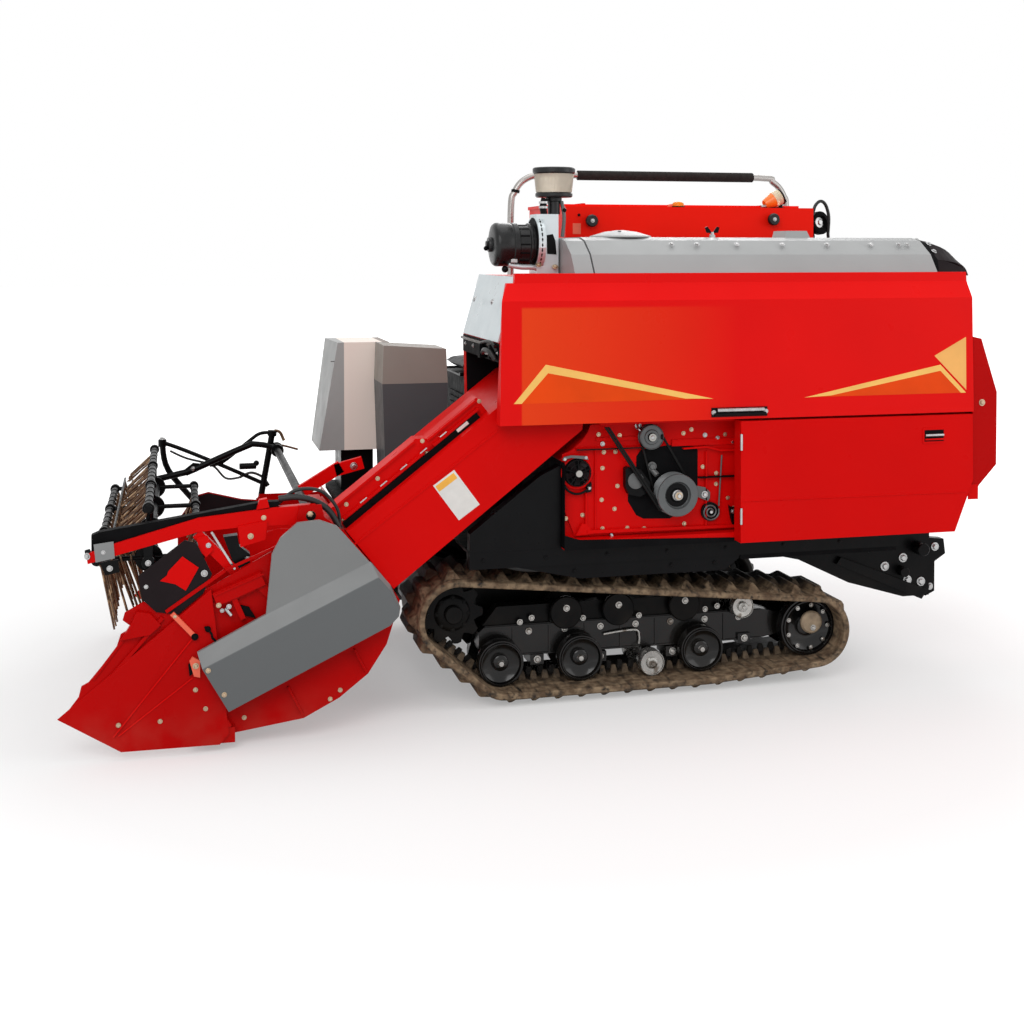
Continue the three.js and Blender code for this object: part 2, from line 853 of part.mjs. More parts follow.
function feederHouse() {
  const box = (back, half) =>
    [
      [back, half],
      [FEED_LENGTH, half],
      [FEED_LENGTH, -half],
      [back, -half],
    ].map(([f, u]) => feederPoint(f, u));
  const tube = join(
    plate(box(0, FEED_HALF), FEED_LEFT, FEED_RIGHT),
    barY(FEED_PIVOT.x, FEED_PIVOT.z, FEED_HALF, FEED_LEFT, FEED_RIGHT, 32),
  );
  const inside = plate(
    [
      [60, FEED_HALF - SHEET],
      [FEED_LENGTH + 1, FEED_HALF - SHEET],
      [FEED_LENGTH + 1, -FEED_HALF + SHEET],
      [60, -FEED_HALF + SHEET],
    ].map(([f, u]) => feederPoint(f, u)),
    FEED_LEFT + SHEET,
    FEED_RIGHT - SHEET,
  );
  const shaft = barY(FEED_PIVOT.x, FEED_PIVOT.z, FEED_SHAFT, FEED_LEFT - 50, FEED_RIGHT + 50, 24);
  const lugOutline = [
    feederPoint(580, -FEED_HALF + 1),
    feederPoint(660, -FEED_HALF + 1),
    [-460, 508],
    [-420, 508],
  ];
  const lug = plate(lugOutline, LIFT_Y + 20, LIFT_Y + 30);
  const pin = barY(LIFT_EYE.x, LIFT_EYE.z, LIFT_PIN, LIFT_Y - 22, LIFT_Y + 25, 20);
  return join(cut(tube, inside), shaft, lug, pin);
}

function feederSideCover() {
  const outline = [
    [FEED_LENGTH - 4, FEED_HALF],
    [-100, FEED_HALF],
    [-125, 60],
    [-125, -60],
    [-50, -FEED_HALF],
    [FEED_LENGTH - 4, -FEED_HALF],
  ].map(([f, u]) => feederPoint(f, u));
  const y1 = FEED_LEFT - SEAT;
  const bore = barY(FEED_PIVOT.x, FEED_PIVOT.z, FEED_SHAFT + SEAT, -716, y1 + 1, 24);
  return cut(plate(outline, -715, y1), bore);
}

function feederTopBeam() {
  const up = FEED_HALF + SEAT;
  const outline = [
    [FEED_LENGTH - 4, up],
    [FEED_LENGTH - 4, up + 85],
    [430, up + 85],
    [400, up + 60],
    [170, up + 60],
    [170, up],
  ];
  return plate(
    outline.map(([far, high]) => feederPoint(far, high)),
    -640,
    -560,
  );
}

// ---------- header ----------

const BACK_LOW = feederPoint(FEED_LENGTH + SEAT, -150);
const BACK_HIGH = feederPoint(FEED_LENGTH + SEAT, 165);

const FLOOR_OUTLINE = [
  [-1215, 44],
  [-1150, 50],
  [-922, 80],
  [-802, 140],
  [-704, 215],
  [-640, 312],
  [-612, 400],
  BACK_LOW,
  BACK_HIGH,
];

// The left side wall rises to the reel's pivot; the right one stays low, and a tube frame on it
// carries the pivot there.
const WALL_FOOT = [[-1330, 130], [-1290, 40], ...FLOOR_OUTLINE.slice(1)];
const LEFT_WALL_OUTLINE = [
  ...WALL_FOOT,
  [-850, 755],
  [-860, 800],
  [-930, 800],
  [-945, 745],
  [-1027, 650],
  [-1254, 528],
  [-1330, 465],
];
const RIGHT_WALL_OUTLINE = [
  ...WALL_FOOT,
  [-860, 720],
  [-910, 705],
  [-955, 590],
  [-988, 540],
  [-1053, 547],
  [-1197, 584],
  [-1257, 569],
  [-1308, 492],
  [-1330, 465],
];

function headerTrough() {
  const inner = FLOOR_OUTLINE.map(([x, z], i) => {
    const prev = FLOOR_OUTLINE[Math.max(i - 1, 0)];
    const next = FLOOR_OUTLINE[Math.min(i + 1, FLOOR_OUTLINE.length - 1)];
    const dx = next[0] - prev[0];
    const dz = next[1] - prev[1];
    const l = Math.hypot(dx, dz);
    return [x - (dz / l) * 8, z + (dx / l) * 8];
  });
  const skin = plate([...FLOOR_OUTLINE, ...inner.reverse()], -HEADER_HALF, HEADER_HALF);
  const walls = [
    plate(LEFT_WALL_OUTLINE, -HEADER_HALF, -HEADER_HALF + 6),
    plate(RIGHT_WALL_OUTLINE, HEADER_HALF - 6, HEADER_HALF),
  ];
  const beam = block(-865, -800, -HEADER_HALF, HEADER_HALF, 665, 715);
  const fingerBar = block(-1275, -1200, -HEADER_HALF + 3, HEADER_HALF - 3, 34, 50);
  const mouthOutline = [
    feederPoint(FEED_LENGTH - 80, FEED_HALF - 20),
    feederPoint(FEED_LENGTH + 80, FEED_HALF - 20),
    feederPoint(FEED_LENGTH + 80, -FEED_HALF + 20),
    feederPoint(FEED_LENGTH - 80, -FEED_HALF + 20),
  ];
  const mouth = plate(mouthOutline, FEED_LEFT + 20, FEED_RIGHT - 20);
  const holes = [
    barY(REEL_PIVOT.x, REEL_PIVOT.z, 16 + PIN_PLAY, -HEADER_HALF - 1, HEADER_HALF + 1, 24),
    barY(AUGER_AXIS.x, AUGER_AXIS.z, 20 + PIN_PLAY, -HEADER_HALF - 1, HEADER_HALF + 1, 24),
  ];
  const lowBack = block(-1000, -700, FEED_RIGHT + 60, HEADER_HALF + 1, LOW_BACK, 800);
  return cut(join(skin, walls, beam, fingerBar), mouth, holes, lowBack);
}

// The bent black plate that guards the reel's drive on the left side wall.
function reelGuardPlate() {
  const outline = [
    [-1458, 592],
    [-1308, 703],
    [-1270, 690],
    [-1221, 586],
    [-1250, 524],
    [-1330, 458],
    [-1401, 471],
    [-1445, 516],
  ];
  return plate(outline, -HEADER_HALF - 6, -HEADER_HALF - SEAT);
}

function knifeBar() {
  return block(-1270, -1224, -770, 770, 50 + SEAT, 56);
}

function divider(side, reach, crown) {
  const y = (v) => side * v;
  const shell = wedge([
    [reach, y(HEADER_HALF), 139],
    [reach + 200, y(HEADER_HALF + 35), 28],
    [reach + 200, y(HEADER_HALF + 5), 28],
    [-1200, y(HEADER_HALF + 35), 26],
    [-1200, y(HEADER_HALF + SEAT), 26],
    [-1170, y(HEADER_HALF + 35), 60],
    [-1170, y(HEADER_HALF + SEAT), 60],
    [-1225, y(HEADER_HALF + 25), crown],
    [-1225, y(HEADER_HALF + SEAT), crown],
    [-1330, y(HEADER_HALF + 30), crown - 100],
    [-1330, y(HEADER_HALF + SEAT), crown - 100],
  ]);
  return shell;
}

function headerDriveCover() {
  const outline = [
    [-1271, 342],
    [-1255, 292],
    [-1170, 140],
    [-635, 390],
    [-606, 420],
    [-601, 451],
    [-635, 527],
    [-814, 735],
    [-873, 758],
    [-945, 752],
    [-1000, 705],
    [-1029, 651],
    [-1049, 453],
  ];
  const back = -HEADER_HALF - 40;
  const base = plate(outline, back - 15, back);
  const bulgeBack = [
    [-1271, 342],
    [-1049, 453],
    [-702, 610],
    [-635, 527],
    [-601, 451],
    [-606, 420],
    [-635, 390],
    [-1170, 140],
    [-1255, 292],
  ];
  const bulgeFace = [
    [-1255, 292],
    [-678, 560],
    [-640, 515],
    [-608, 451],
    [-612, 424],
    [-640, 396],
    [-1172, 147],
  ];
  const bulge = wedge([
    ...bulgeBack.map(([x, z]) => [x, back - 15, z]),
    ...bulgeFace.map(([x, z]) => [x, -MACHINE_HALF, z]),
  ]);
  const feet = [
    [-900, 640],
    [-720, 420],
    [-1100, 300],
  ].map(([x, z]) => barY(x, z, 14, back, -HEADER_HALF - SEAT, 12));
  return join(base, bulge, feet);
}

// A helical flight made of flat segments, from one value of Y to another.
function augerFlight(from, to, turns) {
  const count = Math.round(Math.abs(turns) * 12);
  const corner = (i, r, lift) => {
    const a = (turns * 2 * Math.PI * i) / count;
    const y = from + ((to - from) * i) / count + lift;
    return [AUGER_AXIS.x + r * Math.cos(a), y, AUGER_AXIS.z + r * Math.sin(a)];
  };
  const pieces = [];
  for (let i = 0; i < count; i++) {
    const points = [];
    for (const k of [i, i + 1])
      for (const r of [AUGER_TUBE - 15, AUGER_FLIGHT])
        points.push(corner(k, r, 0), corner(k, r, 8));
    pieces.push(wedge(points));
  }
  return join(pieces);
}

function auger() {
  const tube = barY(AUGER_AXIS.x, AUGER_AXIS.z, AUGER_TUBE, 20 - HEADER_HALF, HEADER_HALF - 20, 24);
  const shaft = barY(AUGER_AXIS.x, AUGER_AXIS.z, 20, -HEADER_HALF, HEADER_HALF, 16);
  return join(tube, shaft, augerFlight(-180, 760, 3), augerFlight(-765, -640, -0.6));
}

function reel() {
  const { x, z } = REEL_AXIS;
  const shaft = barY(x, z, 22, -REEL_HALF, REEL_HALF, 16);
  const journal = barY(x, z, 12, -REEL_HALF - 50, REEL_HALF + 50, 16);
  const bars = [];
  const arms = [];
  for (let i = 0; i < REEL_BARS; i++) {
    const a = (i / REEL_BARS) * 2 * Math.PI;
    const bx = x + REEL_RADIUS * Math.cos(a);
    const bz = z + REEL_RADIUS * Math.sin(a);
    bars.push(barY(bx, bz, 13, -REEL_HALF, REEL_HALF, 12));
    for (const y of [-REEL_HALF + 6, -4, REEL_HALF - 14])
      arms.push(flatBar([x, z], [bx, bz], 34, y, y + 8));
  }
  return join(shaft, journal, bars, arms);
}

function leftReelArm() {
  const [y0, y1] = [-REEL_ARM_OUT, -REEL_ARM_IN];
  const arm = plate(
    [
      [-1620, 668],
      [-1536, 697],
      [-1263, 770],
      [-1020, 793],
      [-880, 800],
      [-858, 784],
      [-855, 745],
      [-880, 733],
      [-1100, 735],
      [-1263, 724],
      [-1536, 657],
      [-1615, 636],
    ],
    y0,
    y1,
  );
  const { x, z } = REEL_AXIS;
  const hanger = plate(
    [
      [x - 40, 690],
      [x + 40, 708],
      [x + 30, 600],
      [x - 30, 600],
    ],
    y0,
    y0 + 12,
  );
  return cut(
    join(arm, hanger),
    barY(x, z, 12 + PIN_PLAY, -800, -700, 20),
    barY(REEL_PIVOT.x, REEL_PIVOT.z, 16 + SEAT, -800, -700, 24),
  );
}

// The channel that carries hoses along the top of the left reel arm.
function hoseChannel() {
  return plate(
    [
      [-1604, 673.8 + SEAT],
      [-1604, 726],
      [-1580, 736],
      [-1055, 812],
      [-1000, 812],
      [-1000, 794.4 + SEAT],
      [-1020, 793 + SEAT],
      [-1263, 770 + SEAT],
      [-1536, 697 + SEAT],
    ],
    -REEL_ARM_OUT + 13,
    -REEL_HALF - 8,
  );
}

function rightReelArm() {
  const [y0, y1] = [REEL_ARM_IN, REEL_ARM_OUT];
  const { x, z } = REEL_AXIS;
  const front = flatBar([x - 10, z - 20], [-1260, 690], 40, y0, y1);
  const middle = flatBar([-1275, 683], [-1000, 800], 36, y0, y1);
  const rear = flatBar([-1010, 800], [REEL_PIVOT.x + 20, REEL_PIVOT.z], 40, y0, y1);
  return cut(
    join(front, middle, rear, barY(x, z, 40, y0, y1, 20)),
    barY(x, z, 12 + PIN_PLAY, 700, 800, 20),
    barY(REEL_PIVOT.x, REEL_PIVOT.z, 16 + SEAT, 700, 800, 24),
  );
}

function reelCrossTube() {
  return barY(REEL_PIVOT.x, REEL_PIVOT.z, 16, -HEADER_HALF, HEADER_HALF + 28, 20);
}

function headerGuardFrame() {
  const y = HEADER_HALF + 14 + SEAT;
  const inPlane = (points) => points.map(([x, z]) => [x, y, z]);
  const top = [-1393, 808];
  const frontLeg = [[-1230, 480], [-1240, 520], [-1368, 685], top];
  const rearLeg = [
    [-963, 520],
    [-963, 560],
    [-915, 835],
  ];
  const frame = join(
    bentBar(inPlane(frontLeg), 13),
    bentBar(inPlane([top, [-935, 600]]), 9),
    bentBar(inPlane(rearLeg), 14),
    ball([top[0], y, top[1]], 18),
    barY(REEL_PIVOT.x, REEL_PIVOT.z, 30, HEADER_HALF + SEAT, HEADER_HALF + 28, 24),
  );
  return cut(frame, barY(REEL_PIVOT.x, REEL_PIVOT.z, 16 + PIN_PLAY, HEADER_HALF - 1, HEADER_HALF + 40, 24));
}

// ---------- header lift cylinder ----------

const liftLength = Math.hypot(LIFT_EYE.x - LIFT_BASE.x, LIFT_EYE.z - LIFT_BASE.z);

// A point on the cylinder's centre line, a given distance from its base pin.
function liftPoint(distance) {
  const t = distance / liftLength;
  return [
    LIFT_BASE.x + (LIFT_EYE.x - LIFT_BASE.x) * t,
    LIFT_Y,
    LIFT_BASE.z + (LIFT_EYE.z - LIFT_BASE.z) * t,
  ];
}

function liftCylinder() {
  const barrel = bar(liftPoint(15), liftPoint(liftLength - 38), 25, 20);
  const boss = barY(LIFT_BASE.x, LIFT_BASE.z, 25, LIFT_Y - 16, LIFT_Y + 16, 20);
  return cut(
    join(barrel, boss),
    bar(liftPoint(38), liftPoint(liftLength), 13.5, 20),
    barY(LIFT_BASE.x, LIFT_BASE.z, LIFT_PIN + PIN_PLAY, LIFT_Y - 30, LIFT_Y + 30, 20),
  );
}

function liftRod() {
  const rod = bar(liftPoint(45), liftPoint(liftLength - 15), 13.5 - SEAT, 20);
  const eye = barY(LIFT_EYE.x, LIFT_EYE.z, 24, LIFT_Y - 14, LIFT_Y + 14, 20);
  const bore = LIFT_PIN + LIFT_EYE_PLAY;
  return cut(join(rod, eye), barY(LIFT_EYE.x, LIFT_EYE.z, bore, LIFT_Y - 30, LIFT_Y + 30, 20));
}

// ---------- the machine ----------

const machine = new THREE.Group();
machine.name = "combine_harvester";

machine.add(
  node("chassis_frame", chassisFrame(), BLACK()),
  node("front_cross_leg", crossLeg(20), BLACK()),
  node("rear_cross_leg", crossLeg(560), BLACK()),
  node("left_track", track(-1), RUBBER()),
  node("right_track", track(1), RUBBER()),
  node("left_track_frame", trackFrame(-1), BLACK()),
  node("right_track_frame", trackFrame(1), BLACK()),
  node("drive_axle", driveAxle(), BLACK()),
  node("rear_hitch", rearHitch(), BLACK()),
  node("front_post", frontPost(), BLACK()),
  node("threshing_body", threshingBody(), RED()),
  node("front_sheet", frontSheet(), STEEL()),
  node("upper_side_panel", upperSidePanel(), RED()),
  node("lower_rear_door", lowerRearDoor(), RED()),
  node("top_cover", topCover(), GREY()),
  node("top_cover_cap", topCoverCap(), GREY()),
  node("rear_hood", rearHood(), RED()),
  node("drive_plate", drivePlate(), RED()),
  node("big_pulley", pulley(MAIN_PULLEY), GREY()),
  node("idler_pulley", pulley(SMALL_PULLEY), GREY()),
  node("fan_wheel", fanWheel(), BLACK()),
  node("grain_tank", grainTank(), RED()),
  node("tank_lid", tankLid(), RED()),
  node("bagging_platform", baggingPlatform(), BLACK()),
  node("guard_rail", guardRail(), CHROME()),
  node("operator_platform", operatorPlatform(), BLACK()),
  node("engine_cover", engineCover(), BLACK()),
  node("engine", engine(), STEEL()),
  node("seat", seat(), FOAM()),
  node("console", console_(), LIGHT_GREY()),
  node("side_console", sideConsole(), BLACK()),
  node("console_post", consolePost(), BLACK()),
  node("air_cleaner", airCleaner(), BLACK()),
  node("intake_bracket", intakeBracket(), STEEL()),
  node("pre_cleaner", preCleaner(), BLACK()),
  node("beacon", beacon(), AMBER()),
  node("work_lamp", workLamp(), AMBER()),
  node("feeder_house", feederHouse(), RED()),
  node("feeder_side_cover", feederSideCover(), RED()),
  node("feeder_top_beam", feederTopBeam(), RED()),
  node("header_trough", headerTrough(), RED()),
  node("reel_guard_plate", reelGuardPlate(), BLACK()),
  node("knife_bar", knifeBar(), STEEL()),
  node("left_divider", divider(-1, -1713, 540), RED()),
  node("right_divider", divider(1, -1520, 440), RED()),
  node("header_drive_cover", headerDriveCover(), GREY()),
  node("auger", auger(), RED()),
  node("reel", reel(), BLACK()),
  node("left_reel_arm", leftReelArm(), RED()),
  node("hose_channel", hoseChannel(), BLACK()),
  node("right_reel_arm", rightReelArm(), BLACK()),
  node("reel_cross_tube", reelCrossTube(), STEEL()),
  node("header_guard_frame", headerGuardFrame(), BLACK()),
  node("lift_cylinder", liftCylinder(), BLACK()),
  node("lift_rod", liftRod(), CHROME()),
);

export default machine;
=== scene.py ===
import math
import random

import bmesh
import bpy
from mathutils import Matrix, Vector


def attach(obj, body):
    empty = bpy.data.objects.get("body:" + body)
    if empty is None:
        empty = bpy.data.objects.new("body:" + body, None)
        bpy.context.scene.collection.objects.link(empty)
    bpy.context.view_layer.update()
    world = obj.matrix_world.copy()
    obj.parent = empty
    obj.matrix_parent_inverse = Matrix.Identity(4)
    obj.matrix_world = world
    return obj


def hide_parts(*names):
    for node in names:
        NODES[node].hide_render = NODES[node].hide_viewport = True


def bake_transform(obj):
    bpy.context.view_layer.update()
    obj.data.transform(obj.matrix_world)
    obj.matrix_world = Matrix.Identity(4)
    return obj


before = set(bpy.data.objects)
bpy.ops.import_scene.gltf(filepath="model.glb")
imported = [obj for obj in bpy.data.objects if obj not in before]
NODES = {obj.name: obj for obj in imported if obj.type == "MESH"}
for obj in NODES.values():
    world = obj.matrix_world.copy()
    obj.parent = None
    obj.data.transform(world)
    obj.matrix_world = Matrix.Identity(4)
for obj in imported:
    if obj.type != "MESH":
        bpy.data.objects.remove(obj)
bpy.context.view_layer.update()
MM = 0.001
LEFT, RIGHT, UP, BACK = (0, -1, 0), (0, 1, 0), (0, 0, 1), (1, 0, 0)
SIDES = (-1, 1)
random.seed(7)


def put(name, data):
    """A new object in the scene."""
    obj = bpy.data.objects.new(name, data)
    bpy.context.scene.collection.objects.link(obj)
    return obj


class Graph:
    """The nodes of a material or a world, with short ways to add and join them."""

    def __init__(self, owner):
        owner.use_nodes = True
        self.nodes, self.links = owner.node_tree.nodes, owner.node_tree.links

    def set(self, socket, value):
        """Joins a socket to another, or gives it a fixed value."""
        if isinstance(value, bpy.types.NodeSocket):
            self.links.new(value, socket)
        else:
            socket.default_value = value

    def add(self, kind, inputs, **settings):
        node = self.nodes.new("ShaderNode" + kind)
        for name, value in settings.items():
            setattr(node, name, value)
        for key, value in inputs.items():
            self.set(node.inputs[key], value)
        return node.outputs

    def math(self, operation, a, b):
        return self.add("Math", {0: a, 1: b}, operation=operation)[0]

    def remap(self, value, low, high, to_low=0.0, to_high=1.0):
        limits = {"From Min": low, "From Max": high, "To Min": to_low, "To Max": to_high}
        return self.add("MapRange", {"Value": value, **limits})["Result"]

    def noise(self, scale, detail=3.0, stretch=None):
        """Smooth random numbers in the object's own coordinates, about 0.3 to 0.7."""
        where = self.add("TexCoord", {})["Object"]
        if stretch:
            where = self.add("Mapping", {"Scale": stretch, "Vector": where})[0]
        return self.add("TexNoise", {"Scale": scale, "Detail": detail, "Vector": where})["Fac"]

    def mix(self, factor, a, b):
        """Colour a where the factor is 0 and b where it is 1; each is a colour or a socket."""
        node = self.nodes.new("ShaderNodeMix")
        node.data_type = "RGBA"
        self.set(node.inputs["Factor"], factor)
        colours = [s for s in node.inputs if s.type == "RGBA"]
        for socket, value in zip(colours, (a, b)):
            self.set(socket, (*value, 1) if isinstance(value, tuple) else value)
        return [s for s in node.outputs if s.type == "RGBA"][0]

    def along(self, axis):
        """The distance from the origin along X, Y or Z, in metres."""
        where = self.add("TexCoord", {})["Object"]
        return self.add("SeparateXYZ", {0: where})[axis]

    def bump(self, shader, strength, distance, height):
        values = {"Strength": strength, "Distance": distance, "Height": height}
        self.set(shader["Normal"], self.add("Bump", values)[0])

    def seen_directly(self):
        """1 for a ray from the camera, a mirror or a window, and 0 for light."""
        ray = self.add("LightPath", {})
        first = self.math("MAXIMUM", ray["Is Camera Ray"], ray["Is Glossy Ray"])
        return self.math("MAXIMUM", first, ray["Is Transmission Ray"])


# ---------- camera, light and floor ----------


def make_camera(place, tilt, turn, lens, shift):
    data = bpy.data.cameras.new("camera")
    data.sensor_width = 36
    data.lens = lens
    data.shift_y = shift
    data.clip_end = 200
    camera = put("camera", data)
    camera.location = place
    camera.rotation_euler = (math.radians(tilt), 0, math.radians(turn))
    bpy.context.scene.camera = camera


def area_light(name, place, aim, size, power):
    data = bpy.data.lights.new(name, "AREA")
    data.shape = "SQUARE"
    data.size = size
    data.energy = power
    lamp = put(name, data)
    lamp.location = place
    lamp.rotation_euler = (Vector(aim) - Vector(place)).to_track_quat("-Z", "Y").to_euler()


def make_world(light):
    """A plain world that lights the object at one level and looks white."""
    world = bpy.data.worlds.new("studio")
    bpy.context.scene.world = world
    graph = Graph(world)
    back = graph.nodes["Background"].inputs
    back["Color"].default_value = (1, 1, 1, 1)
    graph.set(back["Strength"], graph.remap(graph.seen_directly(), 0, 1, light, 1))


def make_floor(albedo, glow_near, near, far, reach=60):
    """A pale floor that glows to white away from the object and keeps its shadow."""
    mesh = bpy.data.meshes.new("floor")
    corners = [(-reach, -reach, 0), (reach, -reach, 0), (reach, reach, 0), (-reach, reach, 0)]
    mesh.from_pydata(corners, [], [(0, 1, 2, 3)])
    material = bpy.data.materials.new("floor")
    graph = Graph(material)
    graph.nodes.remove(graph.nodes["Principled BSDF"])
    where = graph.add("TexCoord", {})["Object"]
    away = graph.add("VectorMath", {0: where}, operation="LENGTH")["Value"]
    glow = graph.math("MULTIPLY", graph.seen_directly(), graph.remap(away, near, far, glow_near))
    diffuse = graph.add("BsdfDiffuse", {"Color": (albedo, albedo, albedo, 1)})[0]
    both = graph.add("AddShader", {0: diffuse, 1: graph.add("Emission", {"Strength": glow})[0]})[0]
    graph.set(graph.nodes["Material Output"].inputs["Surface"], both)
    mesh.materials.append(material)
    put("floor", mesh)


make_camera((-1.333, -5.414, 1.65), 88.5, -13.8, 48.2, -0.219)
make_world(0.7)
make_floor(0.6, 0.34, 2, 7)
area_light("key", (-2.6, -5.6, 4.6), (0, 0, 0.9), 3.5, 150)
area_light("top", (0.6, 0.4, 5.6), (0.2, 0, 0.8), 4.5, 80)
area_light("fill", (4.6, -3.0, 2.6), (0.4, 0, 0.8), 3.0, 40)
area_light("back", (2.5, 5.0, 4.0), (0.2, 0, 0.9), 3.0, 90)
bpy.context.scene.view_settings.view_transform = "Standard"


# ---------- materials ----------

DUST = (0.30, 0.24, 0.17)


def finish(
    name, colour, rough=0.4, metallic=0.0, specular=0.5, vary=0.1, scale=5.0, uneven=0.08,
    grain=0.0, grain_scale=400.0, dust=0.0, dust_top=0.5, second=None, second_scale=28, spread=0.5,
):
    """A procedural surface: wandering colour, uneven gloss, fine grain, and dust low down.
    The second colour shows in patches, in more of them as spread rises."""
    material = bpy.data.materials.new(name)
    graph = Graph(material)
    shader = graph.nodes["Principled BSDF"].inputs
    shader["Metallic"].default_value = metallic
    shader["Specular IOR Level"].default_value = specular
    dark = tuple(c * (1 - vary) for c in colour)
    light = tuple(min(1.0, c * (1 + vary)) for c in colour)
    out = graph.mix(graph.remap(graph.noise(scale, 4), 0.3, 0.7), dark, light)
    gloss = graph.remap(graph.noise(scale * 3), 0.3, 0.7, rough - uneven, rough + uneven)
    if second:
        start = 0.62 - spread * 0.3
        out = graph.mix(graph.remap(graph.noise(second_scale, 6), start, start + 0.1), out, second)
    if dust:
        low = graph.remap(graph.along("Z"), dust_top, 0.0)
        cloud = graph.remap(graph.noise(9.0, 6), 0.38, 0.66)
        amount = graph.math("MULTIPLY", graph.math("MULTIPLY", low, cloud), dust)
        out = graph.mix(amount, out, DUST)
        gloss = graph.math("ADD", gloss, graph.math("MULTIPLY", amount, 0.4))
    graph.set(shader["Base Color"], out)
    graph.set(shader["Roughness"], gloss)
    if grain:
        graph.bump(shader, grain, 0.001, graph.noise(grain_scale))
    return material


def layered(name, colour, rough, layers, bare=False, **look):
    """A finish that takes other colours in parts of the machine; in some these are the parts' own colours,
    in others painted light and painted shade. Each layer is a colour and its steps (axis, where it starts,
    where it is full), in metres. The last is metal when bare."""
    material = finish(name, colour, rough, **look)
    graph = Graph(material)
    shader = graph.nodes["Principled BSDF"].inputs
    out = shader["Base Color"].links[0].from_socket
    for over, steps in layers:
        amount = None
        for axis, start, full in steps:
            step = graph.remap(graph.along(axis), start, full)
            amount = step if amount is None else graph.math("MULTIPLY", amount, step)
        out = graph.mix(amount, out, over)
    graph.set(shader["Base Color"], out)
    if bare:
        graph.set(shader["Metallic"], amount)
    return material


def clear_plastic(name, colour, opacity, rough=0.22):
    """A smoky bowl or lens that lets light through."""
    material = finish(name, colour, rough, specular=0.4, vary=0.08, scale=30)
    shader = material.node_tree.nodes["Principled BSDF"].inputs
    shader["Transmission Weight"].default_value = 1 - opacity
    shader["IOR"].default_value = 1.3
    return material


def track_rubber(name, side):
    """Black rubber that turns to dry mud towards a track's outer edge and on its tread."""
    material = bpy.data.materials.new(name)
    graph = Graph(material)
    shader = graph.nodes["Principled BSDF"].inputs
    shader["Specular IOR Level"].default_value = 0.2
    edge = graph.remap(graph.along("Y"), side * 0.44, side * 0.54)
    cloud = graph.remap(graph.noise(22, 8), 0.24, 0.46)
    streak = graph.remap(graph.noise(60, 6, (1, 0.15, 1)), 0.28, 0.48)
    amount = graph.math("MULTIPLY", graph.math("MULTIPLY", edge, cloud), streak)
    patches = graph.remap(graph.noise(35, 6), 0.34, 0.68)
    mud = graph.mix(patches, (0.115, 0.074, 0.046), (0.30, 0.215, 0.135))
    graph.set(shader["Base Color"], graph.mix(amount, (0.018, 0.0155, 0.0135), mud))
    graph.set(shader["Roughness"], graph.remap(amount, 0, 1, 0.5, 0.85))
    graph.bump(shader, 0.6, 0.003, graph.noise(120, 8))
    return material


ENAMEL = {"scale": 2.5, "grain": 0.04, "grain_scale": 900}
MOULDED = {"vary": 0.05, "scale": 5, "grain": 0.1, "grain_scale": 900}
RED = (0.64, 0.0025, 0.0022)
LIT_PATCH_RED = (0.76, 0.05, 0.009)
BARE_STEEL = (0.34, 0.33, 0.31)

red = finish("red_paint", RED, 0.34, specular=0.06, vary=0.04, dust=0.12, dust_top=0.2, **ENAMEL)
# Painted light: a lighter copy of the red paint for the grain tank and its lid, standing in for the light
# from above.
lit_red = finish("lit_red_paint", (0.86, 0.011, 0.004), 0.36, specular=0.06, vary=0.03, **ENAMEL)
# Painted shade: a darker copy of the red paint, standing in for the shade on the header's tilted trough,
# dividers and wall fittings; the rear hood takes it too.
shaded_red = finish(
    "shaded_red_paint", (
        0.46, 0.0015, 0.0014,
    ), 0.32, specular=0.06, vary=0.06, dust=0.1, dust_top=0.2, **ENAMEL
)
# Painted highlight: a lighter orange-red pool of light on the panel's outer face, strongest towards its
# front and below its top edge.
panel = layered(
    "panel_red", (0.74, 0.005, 0.0045), 0.34,
    [(LIT_PATCH_RED, [("X", 0.65, -0.16), ("X", -0.166, -0.162), ("Z", 1.458, 1.450), ("Y", -0.78, -0.79)])],
    specular=0.08, vary=0.04, **ENAMEL,
)
pulley_grey = finish(
    "pulley_grey", (0.085, 0.09, 0.092), 0.34, metallic=0.3, scale=20, grain=0.1, grain_scale=600,
)
black = finish(
    "black_paint", (0.0028, 0.0028, 0.0032), 0.34, specular=0.09, vary=0.25, scale=9,
    grain=0.1, grain_scale=260, dust=0.06, dust_top=0.45,
)
gloss_black = finish(
    "wet_black", (0.0035, 0.0035, 0.0038), 0.17, specular=0.34, vary=0.25, scale=14,
    uneven=0.06, dust=0.05, dust_top=0.3,
)
black_matt = finish(
    "black_matt", (
        0.0035, 0.0035, 0.004,
    ), 0.6, specular=0.05, vary=0.25, scale=12, grain=0.25, grain_scale=500
)
purple_black = finish("black_plate", (0.010, 0.006, 0.007), 0.5, specular=0.1, vary=0.2, scale=8, grain=0.1)
grey = finish(
    "grey_paint", (0.215, 0.22, 0.22), 0.38, specular=0.4, vary=0.06, scale=4,
    grain=0.08, grain_scale=700, dust=0.2, dust_top=0.4,
)
cover_grey = finish(
    "cover_grey", (0.325, 0.33, 0.33), 0.42, specular=0.25, vary=0.06, scale=3, grain=0.1, grain_scale=700
)
silver = finish(
    "galvanised_sheet", (0.60, 0.66, 0.68), 0.34, metallic=0.45, vary=0.05, grain=0.03, grain_scale=90
)
steel = finish(
    "bright_steel", (0.42, 0.42, 0.42), 0.3, metallic=1.0, vary=0.15, scale=40, grain=0.1, grain_scale=900
)
chrome = finish("chrome_tube", (0.36, 0.345, 0.33), 0.3, metallic=0.85, vary=0.08, scale=20, uneven=0.06)
gold = finish("zinc_yellow", (0.50, 0.38, 0.26), 0.32, metallic=0.8, vary=0.18, scale=60)
